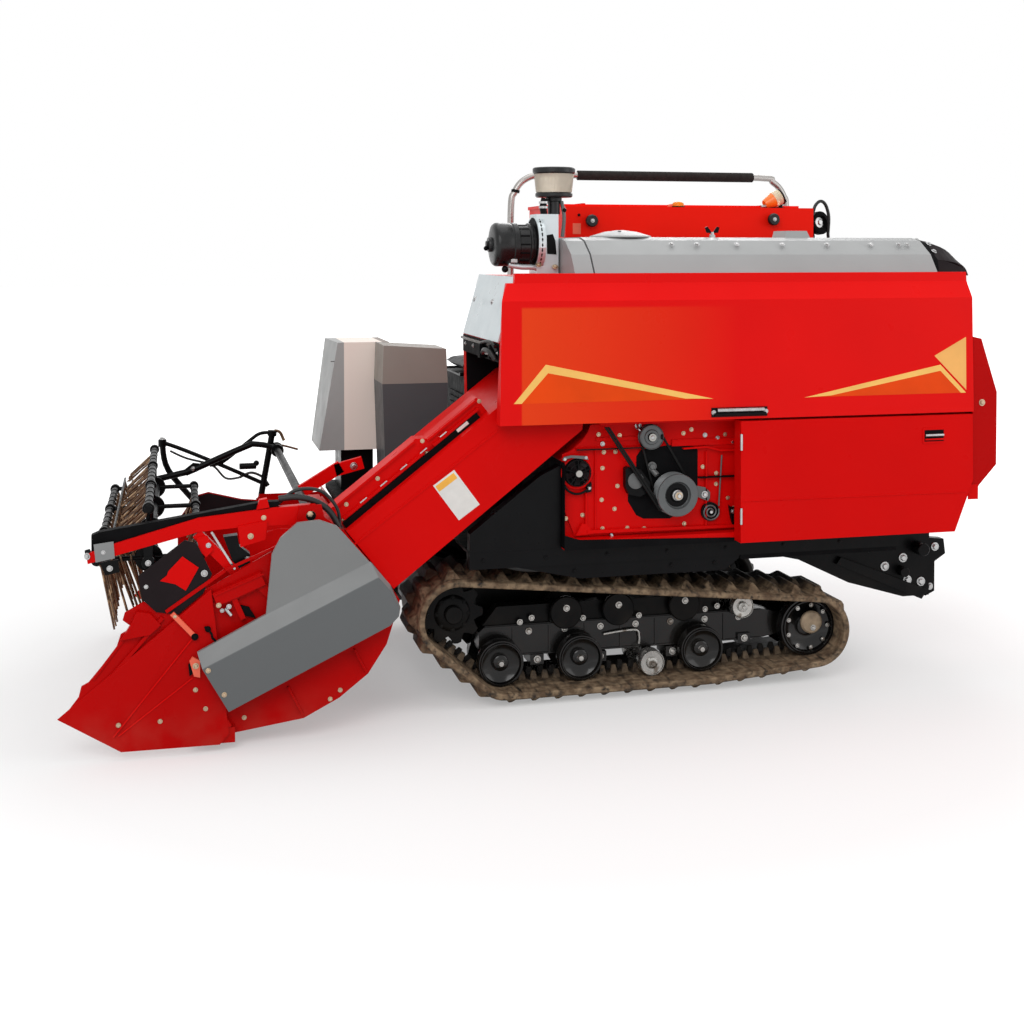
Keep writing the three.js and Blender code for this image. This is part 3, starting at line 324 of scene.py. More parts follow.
# The lighter second colour, in small patches, is painted highlight on the dark brown spring wire.
bronze = finish(
    "spring_wire", (0.10, 0.048, 0.022), 0.34, metallic=0.5, vary=0.4, scale=30,
    second=(0.42, 0.27, 0.15), spread=0.32,
)
cast = finish(
    "cast_grey", (0.105, 0.108, 0.108), 0.42, metallic=0.25, vary=0.12, scale=20, grain=0.2, grain_scale=350
)
rubber = finish(
    "belt_rubber", (
        0.005, 0.005, 0.005,
    ), 0.5, specular=0.12, vary=0.25, scale=30, grain=0.2, grain_scale=600
)
hose = finish("hose_rubber", (0.012, 0.012, 0.012), 0.42, specular=0.35, vary=0.2, scale=30, grain=0.1)
foam = finish(
    "foam_sleeve", (
        0.017, 0.015, 0.014,
    ), 0.85, specular=0.2, vary=0.25, scale=50, grain=0.6, grain_scale=900
)
plastic = finish(
    "black_plastic", (
        0.008, 0.0085, 0.009,
    ), 0.32, specular=0.3, vary=0.15, scale=20, grain=0.12, grain_scale=900
)
dark_grey = finish(
    "console_dark", (0.065, 0.067, 0.07), 0.45, specular=0.35, scale=6, grain=0.1, grain_scale=900
)
salmon = finish("orange_red_paint", (0.80, 0.12, 0.06), scale=20)
orange = finish("orange_plastic", (0.85, 0.19, 0.015), 0.3, scale=20)
white = finish("label_white", (0.72, 0.70, 0.67), 0.5, vary=0.05, scale=30)
amber_band = finish("label_amber", (0.85, 0.42, 0.05), 0.5, vary=0.05, scale=30)
yellow = finish("stripe_yellow", (0.88, 0.50, 0.11), vary=0.06, scale=9)
orange_fill = finish("stripe_orange", (0.78, 0.062, 0.003), specular=0.12, vary=0.08, scale=6)
pale_orange = finish("stripe_pale", (0.86, 0.42, 0.10), vary=0.06, scale=9)
vinyl = finish(
    "seat_vinyl", (0.014, 0.014, 0.015), 0.5, specular=0.35, vary=0.2, scale=30, grain=0.5, grain_scale=260
)
dirty_steel = finish(
    "worn_roller", (0.42, 0.41, 0.39), 0.26, metallic=0.85, vary=0.2, scale=25,
    second=(0.16, 0.14, 0.12), second_scale=25, spread=0.25,
)
tan_steel = finish("muddy_cap", (0.30, 0.225, 0.15), 0.6, metallic=0.2, vary=0.25, scale=40)
bowl = clear_plastic("smoky_bowl", (0.62, 0.56, 0.46), 0.62, 0.5)
lens_amber = clear_plastic("amber_lens", (0.95, 0.36, 0.02), 0.6)
lens_cream = clear_plastic("lamp_lens", (0.85, 0.72, 0.50), 0.7)
track_paint = {-1: track_rubber("track_rubber_left", -1), 1: track_rubber("track_rubber_right", 1)}


# ---------- shapes ----------


def circle(r, sides, phase=0.0):
    turns = [phase + 2 * math.pi * i / sides for i in range(sides)]
    return [(r * math.cos(a), r * math.sin(a)) for a in turns]


def across(axis):
    """Two unit vectors square to an axis."""
    axis = Vector(axis).normalized()
    side = axis.cross(Vector(UP))
    if side.length < 1e-6:
        side = Vector(BACK)
    side.normalize()
    return side, axis.cross(side).normalized()


def smooth_path(points, step=6):
    """Catmull-Rom points through the given ones."""
    pts = [Vector(p) for p in points]
    out = []
    for i in range(len(pts) - 1):
        a = pts[max(i - 1, 0)]
        b, c = pts[i], pts[i + 1]
        d = pts[min(i + 2, len(pts) - 1)]
        for k in range(step):
            t = k / step
            square, cube = 2 * a - 5 * b + 4 * c - d, 3 * b - a - 3 * c + d
            out.append(0.5 * (2 * b + (c - a) * t + square * t * t + cube * t**3))
    out.append(pts[-1])
    return out


class Piece:
    """One visible piece, gathered in millimetres from simple forms that share a mesh."""

    def __init__(self, name, body, *materials, slot=None):
        self.name, self.body, self.slot = name, body, slot
        self.materials = materials
        self.verts, self.faces, self.index = [], [], []

    def add(self, verts, faces, m=0):
        base = len(self.verts)
        self.verts += [tuple(v) for v in verts]
        self.faces += [[base + i for i in f] for f in faces]
        self.index += [m] * len(faces)

    def slab(self, outline, step, m=0):
        """A flat outline of 3-D points, given a thickness by a vector."""
        n = len(outline)
        low = [Vector(p) for p in outline]
        high = [p + Vector(step) for p in low]
        arms = [p - low[0] for p in low]
        normal = sum((arms[i].cross(arms[(i + 1) % n]) for i in range(n)), Vector())
        order = list(range(n))
        if normal.dot(Vector(step)) > 0:
            order.reverse()
        faces = [order, [n + i for i in reversed(order)]]
        for k in range(n):
            a, b = order[k], order[(k + 1) % n]
            faces.append([b, a, n + a, n + b])
        self.add(low + high, faces, m)

    def plate(self, points, y0, y1, m=0):
        self.slab([(x, y0, z) for x, z in points], (0, y1 - y0, 0), m)

    def box(self, x0, x1, y0, y1, z0, z1, m=0):
        self.plate([(x0, z0), (x1, z0), (x1, z1), (x0, z1)], y0, y1, m)

    def lathe(self, origin, axis, profile, m=0, sides=32, phase=0.0):
        """A profile of (radius, distance along the axis) turned round the axis."""
        axis = Vector(axis).normalized()
        u, v = across(axis)
        origin = Vector(origin)
        verts, rings = [], []
        for r, h in profile:
            if r <= 1e-6:
                rings.append([len(verts)])
                verts.append(origin + axis * h)
                continue
            rings.append(list(range(len(verts), len(verts) + sides)))
            verts += [origin + axis * h + u * a + v * b for a, b in circle(r, sides, phase)]
        faces = []
        for low, high in zip(rings, rings[1:]):
            for i in range(sides):
                j = (i + 1) % sides
                if len(low) == 1 and len(high) == 1:
                    continue
                if len(low) == 1:
                    faces.append([low[0], high[j], high[i]])
                elif len(high) == 1:
                    faces.append([low[i], low[j], high[0]])
                else:
                    faces.append([low[i], low[j], high[j], high[i]])
        if len(rings[0]) > 1:
            faces.append(list(reversed(rings[0])))
        if len(rings[-1]) > 1:
            faces.append(list(rings[-1]))
        self.add(verts, faces, m)

    def disc(self, origin, axis, profile, m=0, sides=32):
        """A lathed form whose two ends are closed at its axis."""
        closed = [(0, profile[0][1]), *profile, (0, profile[-1][1])]
        self.lathe(origin, axis, closed, m, sides)

    def rod(self, a, b, r, m=0, sides=16):
        a, b = Vector(a), Vector(b)
        length = (b - a).length
        c = min(r, length / 2) * 0.12
        self.lathe(a, b - a, [(r - c, 0), (r, c), (r, length - c), (r - c, length)], m, sides)

    def ball(self, centre, r, m=0, sides=16):
        turns = [math.pi * i / 8 for i in range(9)]
        profile = [(r * math.sin(a), -r * math.cos(a)) for a in turns]
        profile[0], profile[-1] = (0, -r), (0, r)
        self.lathe(centre, UP, profile, m, sides)

    def tube(self, points, r, m=0, sides=10, step=6):
        """A round tube through the points, or through a smooth curve between them."""
        path = smooth_path(points, step) if step > 1 else [Vector(p) for p in points]
        verts, faces = [], []
        side = None
        for i, p in enumerate(path):
            ahead = path[min(i + 1, len(path) - 1)] - path[max(i - 1, 0)]
            ahead.normalize()
            if side is None:
                side = across(ahead)[0]
            side = (side - ahead * side.dot(ahead)).normalized()
            up = ahead.cross(side)
            verts += [p + side * a + up * b for a, b in circle(r, sides)]
        for i in range(len(path) - 1):
            for k in range(sides):
                j = (k + 1) % sides
                near, far = i * sides, (i + 1) * sides
                faces.append([near + k, near + j, far + j, far + k])
        faces.append(list(reversed(range(sides))))
        faces.append([(len(path) - 1) * sides + k for k in range(sides)])
        self.add(verts, faces, m)

    def bolt(self, at, r=8, m=0, axis=LEFT):
        """A hexagon head on a washer, standing on a face that looks along the axis."""
        washer = [(r * 1.45, 0), (r * 1.5, r * 0.12), (r * 1.4, r * 0.3), (0, r * 0.3)]
        self.lathe(at, axis, washer, m, 16)
        head = [(r * 0.98, r * 0.2), (r, r * 0.75), (r * 0.78, r * 0.95), (0, r * 0.98)]
        self.lathe(at, axis, head, m, 6, random.random())

    def bolts(self, places, y, r, m=0, axis=LEFT):
        """Bolts at several (x, z) places of a wall."""
        for x, z in places:
            self.bolt((x, y, z), r, m, axis)

    def loop(self, path, section, m=0):
        """A section of (y, outwards) swept round a closed path of (point, outward) pairs in X and Z."""
        n, k = len(path), len(section)
        verts = []
        for (px, pz), (nx, nz) in path:
            verts += [(px + nx * out, y, pz + nz * out) for y, out in section]
        faces = []
        for i in range(n):
            for j in range(k):
                a, b = i * k + j, i * k + (j + 1) % k
                c, d = ((i + 1) % n) * k + (j + 1) % k, ((i + 1) % n) * k + j
                faces.append([a, b, c, d])
        self.add(verts, faces, m)

    def make(self, bevel=0.0, replaces=()):
        mesh = shape(self.name, self.verts, self.faces, self.materials, self.index)
        obj = put(self.name, mesh)
        smooth(obj, 38)
        if bevel:
            soften(obj, bevel)
        if replaces:
            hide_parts(*replaces)
        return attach(obj, self.body) if self.body else obj


def shape(name, verts, faces, materials, index):
    """A mesh from points in millimetres, with its faces looking outwards."""
    mesh = bpy.data.meshes.new(name)
    mesh.from_pydata([Vector(v) * MM for v in verts], [], faces)
    for material in materials:
        mesh.materials.append(material)
    mesh.polygons.foreach_set("material_index", index)
    mesh.validate()
    work = bmesh.new()
    work.from_mesh(mesh)
    bmesh.ops.recalc_face_normals(work, faces=work.faces)
    work.to_mesh(mesh)
    work.free()
    return mesh


def smooth(obj, angle):
    obj.data.shade_smooth()
    obj.data.set_sharp_from_angle(angle=math.radians(angle))


def soften(obj, width):
    """Rounds the sharp edges, so that they catch the light."""
    edges = obj.modifiers.new("edges", "BEVEL")
    edges.width = width * MM
    edges.segments = 2
    edges.limit_method = "ANGLE"
    edges.angle_limit = math.radians(38)
    edges.use_clamp_overlap = True
    edges.harden_normals = True


def keep(node, material, bevel):
    """A CAD node that stays, with a better material and rounded edges."""
    obj = NODES[node]
    obj.data.materials.clear()
    obj.data.materials.append(material)
    smooth(obj, 32)
    if bevel:
        soften(obj, bevel)


# ---------- crawler tracks ----------

TRACK_CENTRE, TRACK_WIDTH = 450, 380
BELT, LUG, PITCH = 25, 26, 90
LUG_FOOT, LUG_TIP, LUG_MARGIN = (-30, 30), (-9, 3), 26
GUIDE_FOOT, GUIDE_TIP, GUIDE_HEIGHT = (-15, 15), (-8, 8), 30
SPROCKET, FRONT, MID = (-357, 329, 121), (-180, 138, 86), (125, 138, 86)
SMALL, LAST, IDLER, CARRIER = (404, 101, 49), (606, 138, 86), (1042, 197, 113), (775, 288, 45)


class Band:
    """A band stretched round wheels that are named anticlockwise, as a route by its length."""

    def __init__(self, wheels):
        self.points = []
        count = len(wheels)
        leave = []
        for i, (x, z, r) in enumerate(wheels):
            nx, nz, nr = wheels[(i + 1) % count]
            turn = math.atan2(nz - z, nx - x)
            leave.append(turn - math.acos((r - nr) / math.hypot(nx - x, nz - z)))
        for i, (x, z, r) in enumerate(wheels):
            a, b = leave[i - 1], leave[i]
            while b < a:
                b += 2 * math.pi
            for k in range(25):
                t = a + (b - a) * k / 24
                self.points.append(((x + r * math.cos(t), z + r * math.sin(t)), (math.cos(t), math.sin(t))))
        self.marks = [0.0]
        for (p, _), (q, _) in zip(self.points, self.points[1:] + self.points[:1]):
            self.marks.append(self.marks[-1] + math.dist(p, q))
        self.length = self.marks[-1]

    def at(self, s):
        """The point and the outward direction a distance s along the band."""
        s %= self.length
        i = max(k for k in range(len(self.points)) if self.marks[k] <= s)
        (p, a), (q, b) = self.points[i], self.points[(i + 1) % len(self.points)]
        t = (s - self.marks[i]) / max(self.marks[i + 1] - self.marks[i], 1e-6)
        n = Vector((a[0] + (b[0] - a[0]) * t, a[1] + (b[1] - a[1]) * t)).normalized()
        return (p[0] + (q[0] - p[0]) * t, p[1] + (q[1] - p[1]) * t), (n.x, n.y)

    def spread(self, count, start=0.0):
        return [self.at(start + self.length * k / count) for k in range(count)]


def wedge(piece, band, s, base, top, base_y, top_y, low, high):
    """A lug across the band: base and top are its ends along the band, base_y and top_y its sides."""
    verts = []
    for (a, b), (ya, yb), out in ((base, base_y, low), (top, top_y, high)):
        for step, y in ((a, ya), (b, ya), (b, yb), (a, yb)):
            (px, pz), (nx, nz) = band.at(s + step)
            verts.append((px + nx * out, y, pz + nz * out))
    faces = [[0, 3, 2, 1], [4, 5, 6, 7], [0, 1, 5, 4], [1, 2, 6, 5], [2, 3, 7, 6], [3, 0, 4, 7]]
    piece.add(verts, faces)


def make_track(side, name):
    band = Band([FRONT, LAST, IDLER, SPROCKET])
    count = round(band.length / PITCH)
    centre = side * TRACK_CENTRE
    half = TRACK_WIDTH / 2
    piece = Piece(name, "machine", track_paint[side], slot="track_rubber")
    edges = [
        (-half, 4), (-half + 4, 0), (half - 4, 0), (half, 4), (half, BELT - 5), (half - 8, BELT),
        (-half + 8, BELT), (-half, BELT - 5),
    ]
    piece.loop(band.spread(240), [(centre + y, out) for y, out in edges])
    for k in range(count):
        s = band.length * k / count
        for way, shift in ((side, 0.0), (-side, 0.5)):
            outer, inner = centre + way * (half - LUG_MARGIN), centre - way * 42
            at = s + band.length / count * shift
            foot, tip = (outer, inner), (outer - way * 34, inner + way * 20)
            wedge(piece, band, at, LUG_FOOT, LUG_TIP, foot, tip, BELT - 3, BELT + LUG)
        for way in SIDES:
            y = centre + way * 29
            for at in (s + 20, s + 20 + PITCH / 2):
                foot, tip = (y - 12, y + 12), (y - 5, y + 5)
                wedge(piece, band, at, GUIDE_FOOT, GUIDE_TIP, foot, tip, 2, -GUIDE_HEIGHT)
    piece.make(bevel=3, replaces=(name.replace("_tread", ""),))


def wheel_pair(piece, wheel, centre, cap):
    """Two dished road wheels on one axle, with a capped hub on each outer face."""
    x, z, r = wheel
    for way in SIDES:
        at = (x, centre + way * 62, z)
        profile = [
            (r * 0.45, 0), (r - 3, 0), (r, 3), (r, 40), (r - 2, 44), (r * 0.93, 44), (r * 0.9, 52),
            (r * 0.86, 52), (r * 0.82, 36), (r * 0.62, 24), (r * 0.36, 22), (r * 0.34, 34), (r * 0.28, 38),
            (0, 38),
        ]
        piece.lathe(at, (0, way, 0), profile, 0, 48)
        piece.lathe(
            (x, centre + way * 98, z), (0, way, 0),
            [(0, 0), (cap * 1.3, 0), (cap * 1.3, 4), (cap, 8), (cap * 0.8, 13), (0, 14)], 1, 20,
        )
    piece.rod((x, centre - 64, z), (x, centre + 64, z), 22)


def make_track_frame(side, name):
    c = side * TRACK_CENTRE
    piece = Piece(name, "machine", gloss_black, dirty_steel, tan_steel, black, slot="black_paint")
    outline = [
        (-250, 160), (-225, 146), (870, 146), (1050, 182), (1050, 220), (870, 262), (-225, 262),
        (-250, 240),
    ]
    piece.plate(outline, c - 40, c + 40)
    for z in (149, 256):
        piece.box(-228, 872, c - 45, c + 45, z - 3, z + 3)
    for x in range(-120, 860, 140):
        piece.box(x - 4, x + 4, c - 44, c + 44, 150, 256)
        piece.bolt((x + 60, c - 41, 235), 9, 1)
        piece.bolt((x + 60, c + 41, 235), 9, 1, RIGHT)
    for wheel in (FRONT, MID, LAST):
        wheel_pair(piece, wheel, c, 11)
    wheel_pair(piece, IDLER, c, 14)
    for way in SIDES:
        for angle in range(0, 360, 40):
            a = math.radians(angle)
            x, z = IDLER[0] + 84 * math.cos(a), IDLER[1] + 84 * math.sin(a)
            piece.bolt((x, c + way * 104, z), 6, 1, (0, way, 0))
        piece.lathe(
            (IDLER[0] + 12, c + way * 104, IDLER[1] + 18), (0, way, 0),
            [(0, 0), (44, 0), (44, 10), (38, 15), (0, 16)], 2, 28,
        )
        piece.bolt((IDLER[0] + 16, c + way * 119, IDLER[1] - 2), 8, 1, (0, way, 0))
        for (x, z, r), reach in ((SMALL, 116), (CARRIER, 104)):
            piece.lathe(
                (x, c + way * 60, z), (0, way, 0),
                [
                    (r * 0.5, 0), (r - 2, 0), (r, 3), (r, reach - 66), (r - 3, reach - 62),
                    (r * 0.9, reach - 62), (r * 0.86, reach - 68), (r * 0.45, reach - 70),
                    (r * 0.42, reach - 62), (r * 0.2, reach - 58), (0, reach - 58),
                ],
                1, 40,
            )
            piece.bolt((x, c + way * (reach + 1), z), 8, 1, (0, way, 0))
        for x in (80, 285, 551):
            piece.disc(
                (x, c + way * 46, 300), (0, way, 0), [(60, 0), (62, 3), (62, 14), (58, 18), (20, 20)], 3,
                36,
            )
            piece.bolt((x, c + way * 65, 318), 9, 1, (0, way, 0))
        for x, z in ((-95, 272), (-50, 285), (150, 272), (372, 268), (640, 275), (690, 284)):
            piece.bolt((x, c + way * 46, z), 8, 1, (0, way, 0))
        piece.tube(
            [
                (230, c + way * 48, 205), (300, c + way * 52, 214), (360, c + way * 52, 214),
                (372, c + way * 50, 190), (372, c + way * 48, 160),
            ],
            5, 1, step=4,
        )
    web = [
        (-432, 335), (-405, 385), (-350, 402), (0, 372), (700, 302), (1035, 266), (1105, 215), (1090, 150),
        (1035, 124), (606, 95), (-185, 95), (-222, 112),
    ]
    piece.plate(web, c - side * 128, c - side * 132, 3)
    for x, z, r in (SMALL, CARRIER):
        piece.rod((x, c - 62, z), (x, c + 62, z), 16)
    piece.box(CARRIER[0] - 20, CARRIER[0] + 20, c - 30, c + 30, 240, CARRIER[1] + 10)
    piece.box(385, 423, c - 38, c + 38, 100, 180)
    piece.plate([(-235, 262), (700, 262), (700, 330), (-180, 330)], c - 30, c + 30, 3)
    for x, z in ((-30, 118), (215, 112), (505, 112), (800, 142)):
        piece.box(x - 26, x + 26, c - 52, c + 52, z - 8, z + 30)
        piece.bolt((x, c - 53, z + 12), 10, 1)
        piece.bolt((x, c + 53, z + 12), 10, 1, RIGHT)
    piece.make(bevel=1.5, replaces=(name.replace("_rollers", "_frame"),))


def make_drive_axle():
    piece = Piece("drive_axle_detail", "machine", black, slot="black_paint")
    x, z, _ = SPROCKET
    piece.rod((x, -560, z), (x, 560, z), 34, 0, 32)
    for side in SIDES:
        c = side * TRACK_CENTRE
        teeth = []
        for i in range(9):
            a = i / 9 * 2 * math.pi
            for r, b in (
                (88, -0.33), (100, -0.2), (114, -0.13), (116, 0), (114, 0.13), (100, 0.2), (88, 0.33),
            ):
                teeth.append((x + r * math.cos(a + b), z + r * math.sin(a + b)))
        for y in (c - 72, c + 48):
            piece.plate(teeth, y, y + 24)
        piece.disc(
            (x, c - 84, z), RIGHT, [(54, 0), (66, 8), (70, 20), (70, 148), (66, 160), (54, 168)], 0, 40,
        )
        for way in SIDES:
            for k in range(8):
                a = k * math.pi / 4
                piece.bolt((x + 58 * math.cos(a), c + way * 80, z + 58 * math.sin(a)), 6, 0, (0, way, 0))
    piece.box(-450, -270, -150, 150, 250, 430)
    for way in SIDES:
        piece.disc((x, way * 150, z), (0, way, 0), [(82, 0), (82, 12), (60, 30), (52, 80)], 0, 36)
    piece.make(bevel=2, replaces=("drive_axle",))


for track_side, word in ((-1, "left"), (1, "right")):
    make_track(track_side, word + "_track_tread")
for track_side, word in ((-1, "left"), (1, "right")):
    make_track_frame(track_side, word + "_track_rollers")
make_drive_axle()


# ---------- threshing body and its sheets ----------

for node, material, edge in (
    ("chassis_frame", black, 2), ("front_cross_leg", black, 2), ("rear_cross_leg", black, 2),
    ("rear_hitch", black, 2), ("front_post", black, 2), ("threshing_body", red, 2),
    ("front_sheet", silver, 1.5), ("upper_side_panel", panel, 2.5), ("lower_rear_door", red, 2.5),
    # The rear hood here, and the header's trough and dividers further down, take the darker red: painted
    # shade.
    ("top_cover", cover_grey, 2), ("top_cover_cap", cover_grey, 2), ("rear_hood", shaded_red, 2.5),
    # The grain tank and its lid take the lighter red, painted light from above.
    ("grain_tank", lit_red, 2), ("tank_lid", lit_red, 2), ("bagging_platform", black_matt, 1),
    ("operator_platform", black_matt, 1.5), ("engine_cover", black_matt, 3), ("engine", cast, 2),
    ("console_post", black, 2), ("intake_bracket", silver, 1.5), ("feeder_house", red, 2),
    ("feeder_side_cover", red, 2), ("feeder_top_beam", red, 2), ("header_trough", shaded_red, 1.5),
    ("reel_guard_plate", purple_black, 1.2), ("knife_bar", steel, 0.4), ("left_divider", shaded_red, 2),
    ("right_divider", shaded_red, 2), ("hose_channel", black_matt, 2.5), ("lift_cylinder", black, 1.5),
    ("lift_rod", chrome, 0.8),
):
    keep(node, material, edge)


keep(
    "console",
    layered(
        "console_paint", (0.345, 0.35, 0.345), 0.45,
        [
            ((0.86, 0.755, 0.68), [("X", -0.634, -0.633)]), ((0.205, 0.165, 0.14), [("X", -0.470, -0.469)]),
            ((0.05, 0.051, 0.056), [("Z", 1.10, 1.099), ("X", -0.47, -0.469)]),
        ],
        specular=0.35, **MOULDED,
    ),
    4,
)
keep(
    "drive_plate",
    layered(
        "drive_plate_paint", RED, 0.36, [(BARE_STEEL, [("Y", -0.6886, -0.6890)])], bare=True, specular=0.07,
        vary=0.05, scale=3, grain=0.05, grain_scale=900,
    ),
    1,
)
keep(
    "side_console",
    layered(
        "side_console_paint", (0.265, 0.240, 0.212), 0.45, [((0.072, 0.078, 0.083), [("Z", 1.105, 1.104)])],
        specular=0.3, **MOULDED,
    ),
    5,
)
# Painted shade: the cover's proud outer face, past Y -0.8785, is painted a darker grey than its upper part,
# standing in for the shade on that face.
keep(
    "header_drive_cover",
    layered(
        "drive_cover_paint", (0.20, 0.205, 0.205), 0.4,
        [((0.115, 0.122, 0.125), [("Y", -0.8785, -0.8795)])], specular=0.3, vary=0.05, scale=3, grain=0.08,
        grain_scale=700,
    ),
    2.5,
)


def make_panel_trim():
    deco = Piece("panel_chevrons", "upper_panel", yellow, orange_fill, pale_orange, slot="red_paint")
    deco.plate([(-183, 1121), (-70, 1238), (470, 1121)], -800.5, -799.6, 1)
    deco.plate([(-193, 1121), (-78, 1256), (-70, 1226), (-165, 1121)], -801, -799.6)
    deco.plate([(-78, 1256), (548, 1121), (440, 1124), (-70, 1226)], -801, -799.6)
    deco.plate([(930, 1117), (1459, 1210), (1556, 1118)], -800.5, -799.6, 1)
    deco.plate([(904, 1116), (1459, 1226), (1459, 1203), (1010, 1121)], -801, -799.6)
    deco.plate([(1459, 1226), (1568, 1118), (1546, 1118), (1459, 1203)], -801, -799.6)
    deco.plate([(1434, 1260), (1566, 1329), (1569, 1129)], -800.7, -799.6, 2)
    deco.make()

    latch = Piece("upper_panel_latch", "upper_panel", black, steel, slot="black_paint")
    latch.box(540, 757, -803, -799.7, 1054, 1088)
    latch.rod((560, -808, 1079), (742, -808, 1079), 7, 1)
    latch.rod((548, -806, 1064), (750, -806, 1064), 6, 0)
    latch.bolt((548, -803, 1071), 6, 1)
    latch.bolt((751, -803, 1071), 6, 1)
    latch.make(bevel=0.8)

    grip = Piece("rear_door_handle", "rear_door", red, steel, black_matt, slot="red_paint")
    grip.plate(
        [
            (1386, 936), (1392, 930), (1478, 930), (1482, 936), (1482, 983), (1476, 989), (1392, 989),
            (1386, 983),
        ],
        -803, -799.7,
    )
    grip.box(1394, 1474, -803.6, -802.4, 938, 981, 2)
    grip.rod((1396, -806, 962), (1472, -806, 962), 5, 1)
    grip.rod((1396, -806, 946), (1472, -806, 946), 3.5, 0)
    grip.make(bevel=0.8)


def tank_knob(name, x, z, y=-60):
    piece = Piece(name, "machine", plastic, steel, slot="black_plastic")
    piece.lathe(
        (x, y, z), LEFT, [(0, 0), (10, 0), (10, 12), (22, 14), (26, 19), (26, 30), (22, 35), (0, 36)], 0,
        12,
    )
    piece.bolt((x, y - 35, z), 6, 1)
    piece.make(bevel=1.5)


make_panel_trim()
tank_knob("tank_front_knob", 310, 1776)
tank_knob("tank_rear_knob", 1107, 1786)


# ---------- drive bay ----------

SHEET = -688.4
MAIN_PULLEY, SMALL_PULLEY, FAN = (430, 768, 78), (342, 978, 46), (66, 856, 50)


def make_drive_bay():
    piece = Piece(
        "drive_bay_fittings", "machine", red, black_matt, gold, steel, cast, black, slot="red_paint",
    )
    # Painted shade: a flat black sheet round the main pulley stands in for the dark opening behind it.
    piece.plate(
        [
            (262, 742), (294, 690), (322, 676), (424, 672), (516, 720), (532, 790), (532, 922), (516, 936),
            (420, 942), (312, 930), (294, 905), (294, 800), (262, 786),
        ],
        SHEET - 1.2, SHEET + 0.4, 1,
    )
    piece.box(62, 318, SHEET - 22, SHEET, 938, 943)
    piece.box(62, 318, SHEET - 24, SHEET - 21, 937, 942, 5)
    piece.plate(
        [(470, 927), (560, 930), (612, 916), (686, 914), (686, 920), (614, 922), (560, 936), (470, 932)],
        SHEET - 20, SHEET,
    )
    piece.box(532, 686, SHEET - 18, SHEET, 818, 823, 1)
    piece.box(97, 102, SHEET - 14, SHEET, 668, 780)
    piece.box(134, 138, SHEET - 8, SHEET, 640, 936)
    piece.box(140, 300, SHEET - 6, SHEET, 966, 978)
    piece.box(430, 684, SHEET - 6, SHEET, 938, 962)
    piece.box(560, 566, SHEET - 10, SHEET, 640, 914)
    piece.plate([(60, 628), (128, 632), (104, 668), (84, 672)], SHEET - 14, SHEET)
    piece.plate([(104, 634), (686, 630), (686, 640), (104, 646)], SHEET - 16, SHEET)
    bolts = [
        (165, 867), (222, 800), (162, 752), (211, 717), (165, 647), (325, 640), (480, 650), (507, 997),
        (476, 984), (554, 952), (150, 990), (230, 984), (605, 832), (605, 792), (652, 738), (552, 858),
        (27, 690), (640, 975), (676, 700), (170, 925), (214, 925), (90, 700), (260, 645),
    ]
    piece.bolts(bolts, SHEET, 5.6, 2)
    for x, z, y in ((165, 955, -7), (610, 962, -7), (560, 975, -7), (668, 945, -7)):
        piece.bolt((x, SHEET + y + 6, z), 6, 3)
    piece.plate(
        [(243, 866), (254, 872), (300, 862), (338, 812), (338, 784), (300, 762), (256, 772), (243, 800)],
        SHEET - 30, SHEET - 1, 5,
    )
    piece.disc((281, SHEET - 30, 822), LEFT, [(30, 0), (30, 5), (14, 8)], 4, 24)
    piece.rod((345, SHEET - 2, 862), (366, SHEET - 26, 838), 11, 4)
    piece.bolt((350, SHEET - 12, 868), 12, 4)
    piece.plate(
        [(500, 776), (524, 790), (560, 782), (578, 764), (577, 742), (568, 731), (530, 748), (500, 762)],
        SHEET - 10, SHEET - 1, 4,
    )
    piece.bolt((556, SHEET - 10, 757), 9, 3)
    spiral = []
    for k in range(40):
        a = k / 39 * 4.1 * math.pi
        r = 9 + 24 * k / 39
        spiral.append((579 + r * math.cos(a), SHEET - 14, 692 + r * math.sin(a)))
    piece.tube(spiral, 3.2, 4, 6, step=2)
    piece.lathe((579, SHEET, 692), LEFT, [(35, 0), (35, 12), (31, 12), (31, 2), (0, 2)], 5, 36)
    piece.rod((579, SHEET, 692), (579, SHEET - 22, 692), 6, 3)
    piece.rod((623, SHEET - 10, 900), (611, SHEET - 12, 712), 3, 4, 8)
    piece.plate(
        [(652, 712), (660, 706), (686, 704), (686, 634), (668, 640), (660, 664)], SHEET - 14, SHEET, 5,
    )
    piece.bolt((668, SHEET - 14, 690), 7, 3)
    piece.tube(
        [(297, SHEET - 6, 1022), (296, SHEET - 18, 1008), (306, SHEET - 20, 1000), (318, SHEET - 8, 1004)],
        4, 3, 8,
    )
    piece.bolt((300, SHEET, 1016), 9, 3)
    piece.lathe((66, SHEET, 856), LEFT, [(60, 0), (60, 12), (53, 14), (51, 8), (51, 1), (0, 1)], 0, 44)
    piece.lathe((66, SHEET - 1, 856), LEFT, [(50.5, 0), (50.5, 1.2), (0, 1.2)], 1, 40)
    piece.plate(
        [(8, 903), (14, 916), (40, 921), (100, 916), (106, 903), (93, 905), (40, 912), (20, 907)],
        SHEET - 24, SHEET - 16, 4,
    )
    piece.bolt((17, SHEET - 24, 908), 4, 3)
    piece.bolt((96, SHEET - 24, 911), 4, 3)
    turns = [math.pi * (1.05 + 0.09 * k) for k in range(10)]
    arc = [(66 + 56 * math.cos(a), SHEET - 16, 842 + 62 * math.sin(a)) for a in turns]
    piece.tube(arc, 4.5, 5, 8, step=3)
    piece.plate([(101, 812), (119, 820), (119, 786), (101, 782)], SHEET - 16, SHEET, 5)
    piece.bolt((110, SHEET - 16, 800), 5, 3)
    piece.make(bevel=0.8)

